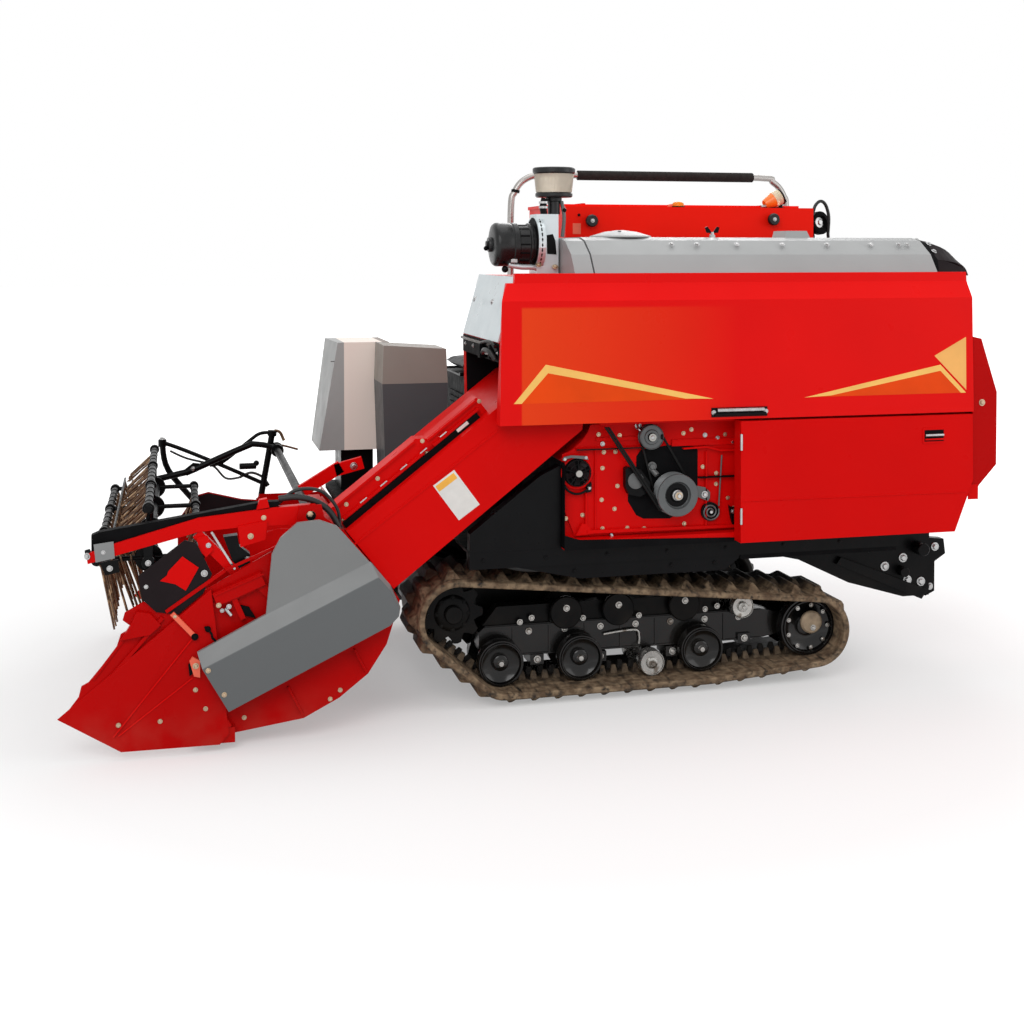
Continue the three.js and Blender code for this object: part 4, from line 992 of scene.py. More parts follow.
    cable = Piece("clutch_cable", "machine", black, steel, slot="black_paint")
    cable.rod((196, SHEET - 2, 628), (205, SHEET - 8, 606), 7, 1)
    cable.rod((205, SHEET - 8, 606), (240, -585, 545), 3, 0, 10)
    cable.make()


def grooved_pulley(name, body, wheel, y_face, width, grooves, node, plain=False):
    """A V-belt pulley: a plain one has a flat face, the other a dished face with a hub."""
    x, z, r = wheel
    piece = Piece(name, body, pulley_grey, black, steel, gold, slot="pulley_grey")
    profile = [(0, 1), (r * 0.2, 1), (r * 0.2, 0), (r - 2, 0), (r, 2)]
    step = (width - 8) / grooves
    for k in range(grooves):
        a = 4 + k * step
        profile += [(r, a), (r * 0.9, a + step * 0.3), (r * 0.9, a + step * 0.7), (r, a + step)]
    if plain:
        profile += [
            (r, width - 2), (r - 2, width), (r * 0.94, width), (r * 0.9, width - 3), (r * 0.62, width - 4),
            (r * 0.55, width), (0, width),
        ]
    else:
        profile += [
            (r, width - 3), (r - 2, width), (r * 0.64, width), (r * 0.6, width - 8), (r * 0.5, width - 14),
            (0, width - 14),
        ]
    piece.lathe((x, y_face + width, z), LEFT, profile, 0, 64)
    if plain:
        piece.disc((x, y_face, z), LEFT, [(r * 0.36, 0), (r * 0.33, 3)], 1, 32)
        piece.bolt((x, y_face - 3, z), 8, 2)
        piece.plate(
            [(x + r - 12, z - 8), (x + r - 3, z - 10), (x + r - 3, z + 10), (x + r - 12, z + 8)],
            y_face - 0.6, y_face + 2, 1,
        )
    else:
        piece.disc(
            (x, y_face + 13, z), LEFT, [(r * 0.58, 0), (r * 0.56, 2), (r * 0.34, 4), (r * 0.3, 8)], 1, 40,
        )
        piece.disc((x, y_face + 6, z), LEFT, [(19, 0), (20, 3), (16, 7)], 2, 24)
        piece.disc((x, y_face, z), LEFT, [(14, 0), (14, 9), (12, 10)], 3, 6)
        piece.disc((x, y_face - 9, z), LEFT, [(8, 0), (8, 8), (6, 10)], 2, 16)
    piece.make(replaces=(node,))


def make_fan():
    x, z, _ = FAN
    piece = Piece("fan_guard_wheel", "fan_rotor", black, gold, purple_black, slot="black_paint")
    y = -720
    for k in range(5):
        a = math.radians(90 + 72 * k)
        piece.rod((x, y + 2, z), (x + 46 * math.cos(a), y + 6, z + 46 * math.sin(a)), 2.4, 0, 8)
        b = a + 0.3
        blade = [
            (x + 14 * math.cos(b), -712, z + 14 * math.sin(b)),
            (x + 46 * math.cos(b), -712, z + 46 * math.sin(b)),
            (x + 46 * math.cos(b + 0.6), -700, z + 46 * math.sin(b + 0.6)),
            (x + 14 * math.cos(b + 0.9), -702, z + 14 * math.sin(b + 0.9)),
        ]
        piece.slab(blade, (0, 2, 0), 2)
    for r in (47, 30):
        turns = [2 * math.pi * k / 24 for k in range(25)]
        ring = [(x + r * math.cos(a), y + 5, z + r * math.sin(a)) for a in turns]
        piece.tube(ring, 1.8, 0, 6, step=1)
    piece.disc((x, -698, z), LEFT, [(14, 0), (14, 20), (8, 23)], 0, 20)
    piece.bolt((x, -721, z), 6, 1)
    piece.make(replaces=("fan_wheel",))


def belt_round(piece, wheels, y, width, thick):
    """A V-belt stretched round two pulleys."""
    band = Band(wheels)
    half = width / 2
    piece.loop(
        band.spread(64), [(y - half * 0.7, -thick), (y + half * 0.7, -thick), (y + half, 0), (y - half, 0)],
    )


def make_belts():
    piece = Piece("drive_belts", "machine", rubber, slot="track_rubber")
    small = (SMALL_PULLEY[0], SMALL_PULLEY[1], SMALL_PULLEY[2] - 3)
    main = (MAIN_PULLEY[0], MAIN_PULLEY[1], MAIN_PULLEY[2] - 3)
    belt_round(piece, [main, small], -708, 11, 7)
    piece.make()
    far = Piece("long_drive_belt", "machine", rubber, slot="track_rubber")
    for shift in (0, 11):
        far.slab(
            [
                (156 + shift, -742, 1022), (165 + shift, -742, 1022), (374 + shift, -742, 712),
                (364 + shift, -742, 712),
            ],
            (0, 9, 0),
        )
    far.make(bevel=1)


make_drive_bay()
grooved_pulley("main_pulley_detail", "main_pulley", MAIN_PULLEY, -758, 61, 4, "big_pulley")
grooved_pulley("idler_pulley_detail", "small_pulley", SMALL_PULLEY, -724, 27, 1, "idler_pulley", plain=True)
make_fan()
make_belts()

# ---------- header, reel and auger ----------

REEL = (-1425, 630, 165)
AUGER = (-905, 338)
KNUCKLE = (-895, 763)
TINES = 17
TINE_TURN = (255, 227, 283, 262)  # direction of each bar's tines, in degrees
TINE_LENGTH = (120, 150, 235, 100)
SPIDERS = (-700, -233, 233, 700)
# rows of tines on thin rods: back from the shaft, up, direction in degrees, length
THIN_ROWS = ((124, 40, 286, 232), (92, 30, 287, 222), (58, 22, 284, 196))
FLIGHT = (78, 184)  # inner and outer radius of the auger's flights


def make_reel():
    x, z, r = REEL
    piece = Piece("reel_bars_and_tines", "reel_rotor", black, bronze, slot="black_paint")
    piece.rod((x, -738, z), (x, 738, z), 21, 0, 24)
    for k in range(4):
        a = math.radians(90 * k)
        bx, bz = x + r * math.cos(a), z + r * math.sin(a)
        piece.rod((bx, -728, bz), (bx, 728, bz), 13, 0, 20)
        for y in SPIDERS:
            piece.rod((x, y, z), (bx, y, bz), 9, 0, 12)
            piece.disc((bx, y - 12, bz), RIGHT, [(19, 0), (20, 2), (20, 22), (19, 24)], 0, 20)
        turn = math.radians(TINE_TURN[k])
        length = TINE_LENGTH[k]
        dx, dz = math.cos(turn), math.sin(turn)
        for i in range(TINES):
            y = -706 + i * 1412 / (TINES - 1)
            for shift in (-19, 19):
                start = Vector((bx, y + shift * 0.4, bz))
                sway = random.uniform(-9, 9)
                tip = start + Vector((dx * length - dz * sway, shift * 0.6, dz * length + dx * sway))
                bend = start + Vector((dx * 24 - dz * 9, shift * 0.5, dz * 24 + dx * 9))
                piece.tube([tuple(start), tuple(bend), tuple(tip)], 3.3, 1, 6, step=1)
            piece.lathe((bx, y - 7, bz), RIGHT, [(13.5, 0), (15.5, 1), (15.5, 13), (13.5, 14)], 0, 12)
    for reach, lift, lean, length in THIN_ROWS:
        piece.rod((x - reach, -726, z + lift), (x - reach, 726, z + lift), 4.5, 0, 10)
        for i in range(TINES):
            y = -712 + i * 1424 / (TINES - 1)
            turn = math.radians(lean + random.uniform(-2.5, 2.5))
            for shift in (-14, 14):
                tip = (x - reach + length * math.cos(turn), y + shift, z + lift + length * math.sin(turn))
                root = (x - reach, y + shift * 0.5, z + lift)
                piece.tube([root, (x - reach + 3, y + shift, z + lift - 22), tip], 3, 1, 6, step=1)
    for y in SPIDERS:
        piece.disc((x, y - 6, z), RIGHT, [(44, 0), (46, 2), (46, 10), (44, 12)], 0, 32)
    piece.make(replaces=("reel",))


def make_auger():
    x, z = AUGER
    piece = Piece("auger_flights_and_fingers", "auger_rotor", red, steel, slot="red_paint")
    piece.disc((x, -765, z), RIGHT, [(78, 0), (80, 2), (80, 1523), (78, 1525)], 0, 48)
    for y0, y1, turns in ((-180, 758, 3), (-640, -764, 0.5)):
        steps = int(48 * turns) + 1
        verts, faces = [], []
        for i in range(steps):
            a = 2 * math.pi * turns * i / (steps - 1)
            y = y0 + (y1 - y0) * i / (steps - 1)
            for r in FLIGHT:
                for dy in (-2, 2):
                    verts.append((x + r * math.cos(a), y + dy, z + r * math.sin(a)))
        for i in range(steps - 1):
            a, b = 4 * i, 4 * i + 4
            faces += [
                [a, a + 2, b + 2, b], [a + 1, b + 1, b + 3, a + 3], [a + 2, a + 3, b + 3, b + 2],
                [a, b, b + 1, a + 1],
            ]
        faces += [[0, 1, 3, 2], [4 * steps - 4, 4 * steps - 2, 4 * steps - 1, 4 * steps - 3]]
        piece.add(verts, faces)
    for k in range(14):
        a = k * 1.9
        y = -610 + k * 31
        piece.rod(
            (x + 76 * math.cos(a), y, z + 76 * math.sin(a)),
            (x + 172 * math.cos(a), y, z + 172 * math.sin(a)), 7, 1, 12,
        )
        piece.disc(
            (x + 78 * math.cos(a), y, z + 78 * math.sin(a)), (math.cos(a), 0, math.sin(a)),
            [(18, 0), (16, 7), (9, 9)], 0, 14,
        )
    piece.make(bevel=0.6, replaces=("auger",))


def rib(piece, a, b, y0, y1, thick, m):
    """A flat rib standing out of a wall between two points in X and Z."""
    (ax, az), (bx, bz) = a, b
    length = math.hypot(bx - ax, bz - az)
    nx, nz = -(bz - az) / length * thick / 2, (bx - ax) / length * thick / 2
    piece.plate([(ax + nx, az + nz), (ax - nx, az - nz), (bx - nx, bz - nz), (bx + nx, bz + nz)], y0, y1, m)


def make_header_fittings():
    wall = -800.4
    piece = Piece(
        "header_wall_fittings", "header", shaded_red, gold, black_matt, salmon, steel, slot="red_paint",
    )
    rib(piece, (-975, 193), (-926, 96), wall - 16, wall + 0.6, 5, 0)
    rib(piece, (-752, 304), (-711, 222), wall - 16, wall + 0.6, 5, 0)
    piece.bolts(((-1119, 98), (-833, 138), (-799, 166), (-1150, 500)), wall, 5.5, 1)
    rib(piece, (-1213, 504), (-1056, 566), wall - 26, wall, 44, 0)
    rib(piece, (-1213, 520), (-1056, 582), wall - 30, wall - 25, 6, 0)
    rib(piece, (-1150, 500), (-1121, 433), wall - 20, wall, 18, 0)
    rib(piece, (-1080, 560), (-1000, 470), wall - 14, wall, 30, 0)
    rib(piece, (-1186, 490), (-1085, 530), wall - 20, wall, 8, 0)
    piece.plate([(-1140, 480), (-1102, 470), (-1080, 432), (-1130, 446)], wall - 10, wall, 2)
    piece.bolt((-1201, wall - 30, 487), 6, 1)
    piece.bolt((-1168, wall - 26, 480), 6, 4)
    piece.bolt((-1190, wall - 26, 468), 5, 4)
    piece.rod((-1180, wall - 20, 474), (-1160, wall - 20, 448), 6, 4)
    rib(piece, (-1350, 471), (-1277, 389), -842, -832, 15, 3)
    piece.bolt((-1341, -842, 462), 4, 1)
    piece.bolt((-1278, -842, 391), 8, 2)
    piece.tube(
        [
            (-1246, -836, 420), (-1226, -846, 400), (-1222, -848, 385), (-1212, -840, 372),
            (-1206, -840, 350), (-1197, -840, 338),
        ],
        4, 2, 8,
    )
    piece.ball((-1236, -836, 412), 10, 2)
    piece.bolts(((-1277, 214), (-1245, 149), (-1390, 119), (-1521, 117)), -834.6, 5.5, 1)
    piece.bolts(((-1237, 288), (-1186, 205)), -880, 6, 1)
    piece.plate([(-1296, 313), (-1286, 326), (-1262, 312), (-1262, 256), (-1282, 262)], -846, -834, 3)
    piece.plate([(-1300, 300), (-1290, 308), (-1285, 270), (-1296, 262)], -842, -834, 2)
    piece.bolt((-1276, -846, 296), 7, 1)
    piece.plate([(-1286, 66), (-1205, 74), (-1200, 30), (-1280, 34)], -812, -800.6, 2)
    piece.plate([(-1196, 78), (-1150, 78), (-1150, 27), (-1196, 27)], -826, -800.6)
    piece.bolt((-1212, -826, 40), 6, 1)
    rib(piece, (-1240, 190), (-1172, 78), -832, -801, 26, 0)
    piece.plate(
        [(-1513, 388), (-1480, 440), (-1462, 478), (-1420, 470), (-1386, 430), (-1420, 400)], -818, -800,
    )
    piece.make(bevel=1.2)

    plate = Piece("guard_plate_fittings", "header", red, steel, slot="red_paint")
    plate.plate(
        [(-1388, 573), (-1366, 590), (-1362, 603), (-1316, 650), (-1264, 610), (-1306, 536), (-1340, 560)],
        -808.6, -805.8,
    )
    plate.bolt((-1432, -806, 556), 5, 1)
    plate.bolt((-1246, -806, 590), 8, 1)
    plate.make(bevel=0.8)

    creases = Piece("divider_creases", "header", red, slot="red_paint")
    for a, b in (((-1286, 384), (-1537, 79)), ((-1286, 254), (-1521, 81))):
        rib(creases, a, b, -836.6, -834.6, 5, 0)
    creases.make(bevel=1)
    guide = Piece("left_divider_inner_guide", "header", shaded_red, slot="red_paint")
    guide.plate(
        [
            (-1690, 150), (-1646, 207), (-1637, 242), (-1615, 253), (-1529, 356), (-1513, 404),
            (-1476, 424), (-1507, 449), (-1500, 474), (-1441, 506), (-1334, 468), (-1330, 440),
            (-1450, 330), (-1620, 190),
        ],
        -800, -794,
    )
    rib(guide, (-1600, 262), (-1440, 470), -806, -799, 9, 0)
    rib(guide, (-1560, 250), (-1380, 452), -812, -799, 12, 0)
    rib(guide, (-1370, 470), (-1180, 596), -812, -800.4, 12, 0)
    rib(guide, (-1180, 596), (-1010, 665), -806, -800.4, 10, 0)
    guide.make(bevel=1.2)


def make_reel_arm_fittings():
    piece = Piece("reel_arm_fittings", "reel_arms", grey, red, gold, black, steel, slot="black_paint")
    piece.plate([(-1596, 700), (-1534, 707), (-1530, 652), (-1590, 641)], -793, -788.2)
    piece.bolt((-1566, -793, 673), 5, 4)
    piece.rod((-1622, -770, 664), (-1606, -770, 668), 15, 3)
    piece.bolt((-1616, -788, 662), 8, 4, (-0.6, -0.8, 0))
    piece.plate([(-1578, 640), (-1520, 648), (-1515, 606), (-1560, 598)], -794, -784, 3)
    piece.bolt((-1546, -794, 620), 7, 4)
    piece.bolts(((-1086, 727), (-1051, 762)), -788, 6, 2)
    piece.plate([(-1137, 738), (-1040, 752), (-1046, 690), (-1128, 668)], -798, -788.2, 1)
    piece.bolt((-1095, -798, 704), 7, 2)
    piece.plate([(-1075, 790), (-1065, 822), (-1040, 826), (-1032, 796)], -792, -764, 1)
    piece.lathe((-898, -788, 769), LEFT, [(24, 0), (24, 6), (14, 8), (14, 5), (0, 5)], 2, 28)
    piece.bolt((-898, -793, 769), 11, 2)
    rib(piece, (-1270, 718), (-1140, 580), -786, -756, 34, 1)
    rib(piece, (-1222, 722), (-1146, 594), -790, -785, 7, 4)
    piece.plate([(-1270, 706), (-1235, 712), (-1216, 664), (-1240, 640), (-1262, 664)], -796, -786, 1)
    piece.bolt((-1232, -796, 680), 6, 4)
    piece.plate(
        [(-1183, 702), (-1137, 706), (-1131, 669), (-1096, 640), (-1096, 612), (-1143, 590)], -782, -740, 3,
    )
    piece.bolt((-1104, -784, 626), 6, 4)
    piece.make(bevel=1.2)

    lines = Piece("reel_lift_hose", None, hose, steel, slot="track_rubber")
    lines.tube(
        [
            (-1000, -760, 818), (-940, -762, 822), (-880, -764, 806), (-830, -766, 770), (-796, -770, 706),
            (-790, -770, 640),
        ],
        11, 0, 12,
    )
    lines.tube(
        [
            (-1000, -752, 800), (-948, -756, 842), (-884, -756, 846), (-838, -756, 824), (-800, -750, 770),
            (-790, -740, 700),
        ],
        6, 0, 10,
    )
    lines.disc((-790, -770, 640), UP, [(14, -26), (15, -20), (15, 0), (12, 6)], 1, 14)
    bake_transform(lines.make())


def make_left_arm():
    """The red arm with the slim hanger that holds the reel's shaft."""
    piece = Piece("left_reel_arm_bar", "reel_arms", red, black, steel, slot="red_paint")
    outline = [
        (-1620, 668), (-1536, 697), (-1263, 770), (-1020, 793), (-880, 800), (-858, 784), (-855, 745),
        (-880, 733), (-1100, 735), (-1263, 724), (-1536, 657), (-1615, 636),
    ]
    piece.plate(outline, -788, -752)
    x, z, _ = REEL
    piece.plate([(x - 16, 690), (x + 16, 700), (x + 12, 612), (x - 12, 612)], -787, -776, 1)
    piece.disc((x, -790, z), RIGHT, [(20, 0), (22, 2), (22, 18)], 1, 28)
    piece.bolt((x, -790, z), 7, 2)
    piece.make(bevel=2, replaces=("left_reel_arm",))


def make_right_arm():
    y = 770
    piece = Piece("right_reel_arm_tubes", "reel_arms", black, steel, slot="black_paint")
    piece.lathe(
        (REEL[0], y - 18, REEL[1]), RIGHT, [(22, 0), (36, 0), (38, 3), (38, 33), (36, 36), (22, 36)], 0, 32,
    )
    piece.tube(
        [(-1412, y, 655), (-1330, y, 672), (-1262, y, 690), (-1100, y, 758), (-1005, y, 796)], 14, 0, 14,
    )
    piece.tube([(-1012, y, 796), (-950, y, 788), (KNUCKLE[0] - 18, y, KNUCKLE[1] + 10)], 13, 0, 14)
    piece.lathe(
        (KNUCKLE[0], y - 18, KNUCKLE[1]), RIGHT, [(17, 0), (27, 0), (28, 2), (28, 34), (27, 36), (17, 36)],
        0, 28,
    )
    piece.plate([(-1290, 664), (-1240, 684), (-1236, 716), (-1262, 720), (-1296, 694)], y - 8, y + 8)
    piece.bolt((-1262, y - 9, 694), 8, 1)
    piece.make(bevel=1, replaces=("right_reel_arm",))


def make_guard_frame():
    piece = Piece("header_tube_frame", "header", black, steel, bronze, hose, slot="black_paint")
    y = 814
    piece.tube([(-1230, y, 480), (-1240, y, 520), (-1368, y, 685), (-1393, y, 800)], 13, 0, 14, step=5)
    piece.lathe(
        (KNUCKLE[0], 800.6, KNUCKLE[1]), RIGHT, [(17, 0), (29, 0), (30, 2), (30, 25), (28, 27), (17, 27)],
        0, 28,
    )
    piece.rod((-1393, y, 790), (-1393, y, 822), 18, 0)
    piece.bolt((-1393, y, 822), 11, 1, UP)
    piece.tube([(-1385, y, 806), (-1300, y, 772), (-1120, y, 690), (-935, y, 600)], 9, 0, 12, step=4)
    piece.tube(
        [(-1360, y, 770), (-1290, y, 735), (-1180, y, 700), (-1120, y, 640), (-1060, y, 640)], 5, 3, 8,
    )
    piece.tube([(-963, y, 520), (-963, y, 560), (-938, y, 700), (-915, y, 830)], 14, 0, 14, step=5)
    piece.rod((-915, y, 822), (-913, y, 848), 20, 0)
    piece.tube(
        [(-918, y, 838), (-970, y, 834), (-1020, y, 800), (-1130, y, 715), (-1190, y, 700)], 8, 0, 10,
    )
    piece.tube([(-905, y, 846), (-880, y, 838), (-862, y, 800)], 7, 2, 8)
    piece.tube([(-930, y, 790), (-900, y, 774), (-870, y, 778), (-800, y, 758)], 5, 2, 8)
    piece.tube([(-1060, y, 640), (-1010, y, 660), (-960, y, 640), (-930, y, 600)], 6, 3, 8)
    piece.rod((-1175, y, 716), (-1130, y, 716), 17, 0)
    piece.rod((-1060, y, 690), (-985, y, 690), 14, 0)
    piece.ball((-985, y, 702), 13, 0)
    for x, z in ((-1240, 505), (-963, 530)):
        piece.box(x - 24, x + 24, y - 13, y + 8, z - 30, z + 14)
        piece.bolt((x, y + 8, z - 8), 8, 1, RIGHT)
    piece.make(bevel=1, replaces=("header_guard_frame",))


def make_feeder_fittings():
    side = Piece(
        "feeder_cover_fittings", "header", red, white, amber_band, gold, steel, black_matt,
        slot="red_paint",
    )
    rib(side, (-738, 642), (-231, 1019), -718.5, -714.8, 7, 0)
    side.plate([(-463, 833), (-388, 886), (-296, 760), (-371, 707)], -715.9, -714.9, 1)
    side.plate([(-455, 830), (-390, 876), (-376, 857), (-441, 811)], -716.3, -715.5, 2)
    slope = math.radians(38)
    along, above = (math.cos(slope), math.sin(slope)), (-math.sin(slope), math.cos(slope))

    def feeder(s, h):
        """A point on the feeder, s down its slope from the pivot and h above its middle."""
        return -40 - along[0] * s + above[0] * h, 1084 - along[1] * s + above[1] * h

    for s, h in ((170, 196), (416, 216), (430, 170), (800, 176), (620, 214), (760, 214)):
        x, z = feeder(s, h - 22)
        side.bolt((x, -640, z), 5.5, 3)
    for s0, s1, h in ((180, 400, 186), (440, 800, 212)):
        a, b = feeder(s0, h), feeder(s1, h)
        rib(side, a, b, -652, -639, 8, 0)
    for s0, s1, h in ((190, 395, 158), (440, 800, 160)):
        a, b = feeder(s0, h), feeder(s1, h)
        rib(side, a, b, -656, -639, 10, 0)
    # Painted shade: a flat black strip stands in for the shade in the channel along the feeder's side.
    rib(side, feeder(205, 141), feeder(812, 141), -662.5, -655, 24, 5)
    for k in range(9):
        side.bolt((feeder(240 + 64 * k, 141)[0], -662.5, feeder(240 + 64 * k, 141)[1]), 4, 5)
    for k in range(5):
        a = feeder(330 + 90 * k, 168)
        b = feeder(360 + 90 * k, 168)
        rib(side, a, b, -658, -655, 4, 4)
    rib(side, feeder(250, 146), feeder(300, 146), -664, -656, 12, 1)
    side.make(bevel=1)

    link = Piece("far_lift_link", "header", red, steel, slot="red_paint")
    for a, b in (((-885, 762), (-737, 850)), ((-760, 836), (-656, 862))):
        rib(link, a, b, -320, -300, 46, 0)
    link.bolt((-690, -320, 850), 10, 1)
    link.make(bevel=2)


def make_far_wall_plate():
    piece = Piece("right_wall_black_plate", "header", purple_black, steel, slot="black_paint")
    outline = [
        (-1322, 474), (-1303, 494), (-1255, 564), (-1197, 579), (-1055, 543), (-990, 536), (-976, 500),
        (-1100, 470),
    ]
    piece.plate(outline, 789, 793.8)
    piece.bolt((-1250, 789, 520), 8, 1)
    piece.bolt((-1040, 789, 510), 8, 1)
    piece.make(bevel=1)


make_left_arm()
make_right_arm()
make_far_wall_plate()
make_reel()
make_auger()
make_header_fittings()
make_reel_arm_fittings()
make_guard_frame()
make_feeder_fittings()
keep("reel_cross_tube", black, 0)

# ---------- air intake, covers, tank and rail ----------


def make_air_cleaner():
    y, z = -450, 1677
    piece = Piece("air_cleaner_can", "machine", plastic, black_matt, steel, slot="black_plastic")
    profile = [
        (0, -206), (26, -206), (28, -202), (28, -194), (60, -192), (74, -188), (80, -180), (81, -172),
        (81, -128), (78, -124), (78, -120), (81, -117), (81, -100), (74, -96), (74, -60), (80, -56),
        (80, -50), (72, -46), (72, -36), (0, -36),
    ]
    piece.lathe((0, y, z), BACK, profile, 0, 56)
    for k in range(14):
        a = 2 * math.pi * k / 14
        piece.box(
            -96, -62, y - 3 + 73 * math.cos(a), y + 3 + 73 * math.cos(a), z - 3 + 73 * math.sin(a),
            z + 3 + 73 * math.sin(a), 1,
        )
    for a in (-2.3, -0.9, 0.9):
        cy, cz = y + 80 * math.cos(a), z + 80 * math.sin(a)
        piece.box(-132, -108, cy - 7, cy + 7, cz - 7, cz + 7, 2)
    piece.rod((-214, y, z + 2), (-200, y, z + 2), 12, 0)
    piece.ball((-214, y - 4, z - 14), 9, 1)
    piece.disc((-36, y, 1685), BACK, [(92, 0), (99, 6), (100, 14), (99, 22), (92, 27)], 1, 56)
    piece.make(bevel=1, replaces=("air_cleaner",))

    trim = Piece("intake_disc_rims", "machine", silver, black, gold, slot="galvanised")
    for x in (-34, -10):
        trim.lathe((x, y, 1685), BACK, [(94, 0), (101, 1), (101, 3), (94, 4)], 0, 56)
    trim.plate([(6, 1712), (30, 1716), (40, 1690), (44, 1640), (8, 1642)], -502.5, -500.2, 1)
    trim.tube(
        [(-137, y - 40, 1602), (-90, y - 44, 1594), (-40, y - 40, 1592), (-6, y - 30, 1576)], 10, 0, 12,
    )
    trim.ball((-150, y - 40, 1586), 13, 1)
    trim.bolt((-27, y - 60, 1602), 8, 2, (0, -0.7, 0.7))
    trim.bolt((37, y - 60, 1594), 8, 2, (0, -0.7, 0.7))
    trim.make(bevel=0.8)


def make_pre_cleaner():
    x, y = 48, -450
    piece = Piece("pre_cleaner_bowl", "machine", plastic, bowl, slot="black_plastic")
    piece.disc(
        (x, y, 0), UP, [(76, 1942), (80, 1946), (80, 1961), (76, 1965), (30, 1965), (26, 1963)], 0, 56,
    )
    piece.disc((x, y, 0), UP, [(66, 1872), (68, 1876), (75, 1941)], 1, 56)
    piece.disc((x, y, 0), UP, [(66, 1854), (70, 1858), (70, 1868), (66, 1871.5)], 0, 56)
    piece.disc((x, y, 0), UP, [(23, 1790), (23, 1838), (30, 1840), (30, 1853)], 0, 28)
    piece.make(bevel=0.8, replaces=("pre_cleaner",))
    props = Piece("intake_posts", "machine", black, steel, cast, slot="black_paint")
    props.tube([(4, y - 20, 1790), (0, y - 22, 1820), (6, y - 24, 1850)], 13, 0, 12)
    for z in (1812, 1830):
        props.disc((2, y - 22, z), UP, [(18, 0), (18, 8)], 1, 16)
    props.tube([(78, y - 10, 1706), (84, y - 14, 1780), (74, y - 12, 1840)], 7, 2, 10)
    props.ball((84, y - 20, 1806), 8, 0)
    props.make()


def make_top_fittings():
    piece = Piece("drum_cover_fittings", "drum_cover", steel, cover_grey, black, slot="galvanised")
    for x in (460, 560, 720, 905, 1090, 1275, 1395, 1430):
        piece.bolt((x, -602, 1678), 7, 0, (0, -0.62, 0.78))
    piece.disc((320, -420, 1704.6), UP, [(120, 0), (116, 6), (60, 22), (14, 28)], 1, 48)
    piece.bolt((300, -470, 1722), 8, 2, UP)
    piece.bolt((330, -474, 1722), 6, 0, UP)
    piece.disc((687, -440, 1704.6), UP, [(12, 0), (12, 10), (7, 12), (7, 22)], 0, 16)
    for way in SIDES:
        piece.slab(
            [
                (687, -442, 1722), (687 + way * 20, -442, 1748), (687 + way * 30, -442, 1744),
                (687 + way * 24, -442, 1724),
            ],
            (0, 5, 0), 2,
        )
    piece.slab(
        [(973, -480, 1704.7), (985, -470, 1732), (1070, -470, 1732), (1080, -480, 1704.7)], (0, 120, 0), 1,
    )
    piece.make(bevel=1)

    end = Piece("drum_rear_cap", "machine", purple_black, steel, black_matt, slot="black_paint")
    front, foot, reach = 1514, 1561, 150
    profile = [
        (-655, foot), (-640, 1620), (-560, 1684), (-500, 1698), (-180, 1698), (-140, 1680), (-130, foot),
    ]
    end.slab([(front, y, z) for y, z in profile], (26, 0, 0), 2)
    for (y0, z0), (y1, z1) in zip(profile, profile[1:]):
        turns = [k / 8 * math.pi / 2 for k in range(9)]
        curve = [(front + reach * math.sin(a), foot + (z0 - foot) * math.cos(a * 0.82)) for a in turns]
        for near, far in zip(curve, curve[1:]):
            sheet = [(near[0], y0, near[1]), (far[0], y0, far[1])]
            for x, z in (far, near):
                if z0 > foot:
                    sheet.append((x, y1, foot + (z - foot) * (z1 - foot) / (z0 - foot)))
                else:
                    sheet.append((x, y1, foot + (z1 - foot) * math.cos((x - front) / reach * 1.2)))
            end.slab(sheet, (0, 0, -3))
    for y, z in ((-600, 1655), (-560, 1684), (-470, 1700)):
        end.bolt((1548, y, z - 4), 8, 1, (0.3, -0.5, 0.8))
    end.make(bevel=0)


def make_guard_rail():
    y = 790
    piece = Piece("bagging_rail", "machine", chrome, foam, black, steel, slot="chrome_tube")
    hoop = [
        (185, y, 584), (185, y, 1300), (185, y, 1830), (205, y, 1930), (255, y, 1988), (345, y, 2010),
        (600, y, 2010), (1402, y, 2010), (1502, y, 1988), (1557, y, 1925), (1572, y, 1830), (1572, y, 1300),
        (1572, y, 584),
    ]
    piece.tube(hoop, 15.5, 0, 20, step=8)
    piece.rod((185, y, 1180), (1572, y, 1180), 12, 0)
    piece.rod((506, y, 2010), (1394, y, 2010), 23, 1, 28)
    for x in (185, 1572):
        piece.disc((x, y, 584.2), UP, [(36, 0), (36, 5), (22, 8), (18, 22)], 2, 24)
        piece.lathe((x, y, 1164), UP, [(17, 0), (21, 2), (21, 30), (17, 32)], 2, 20)
        for k in range(4):
            a = math.pi / 4 + math.pi / 2 * k
            piece.bolt((x + 28 * math.cos(a), y + 28 * math.sin(a), 589), 5, 3, UP)
    for x, z in ((206, 1925), (1556, 1890)):
        piece.lathe(
            (x, y, z), (0.2 if x < 500 else -0.2, 0, 1), [(15, 0), (20, 1), (20, 14), (15, 15)], 2, 20,
        )
    piece.make(replaces=("guard_rail",))


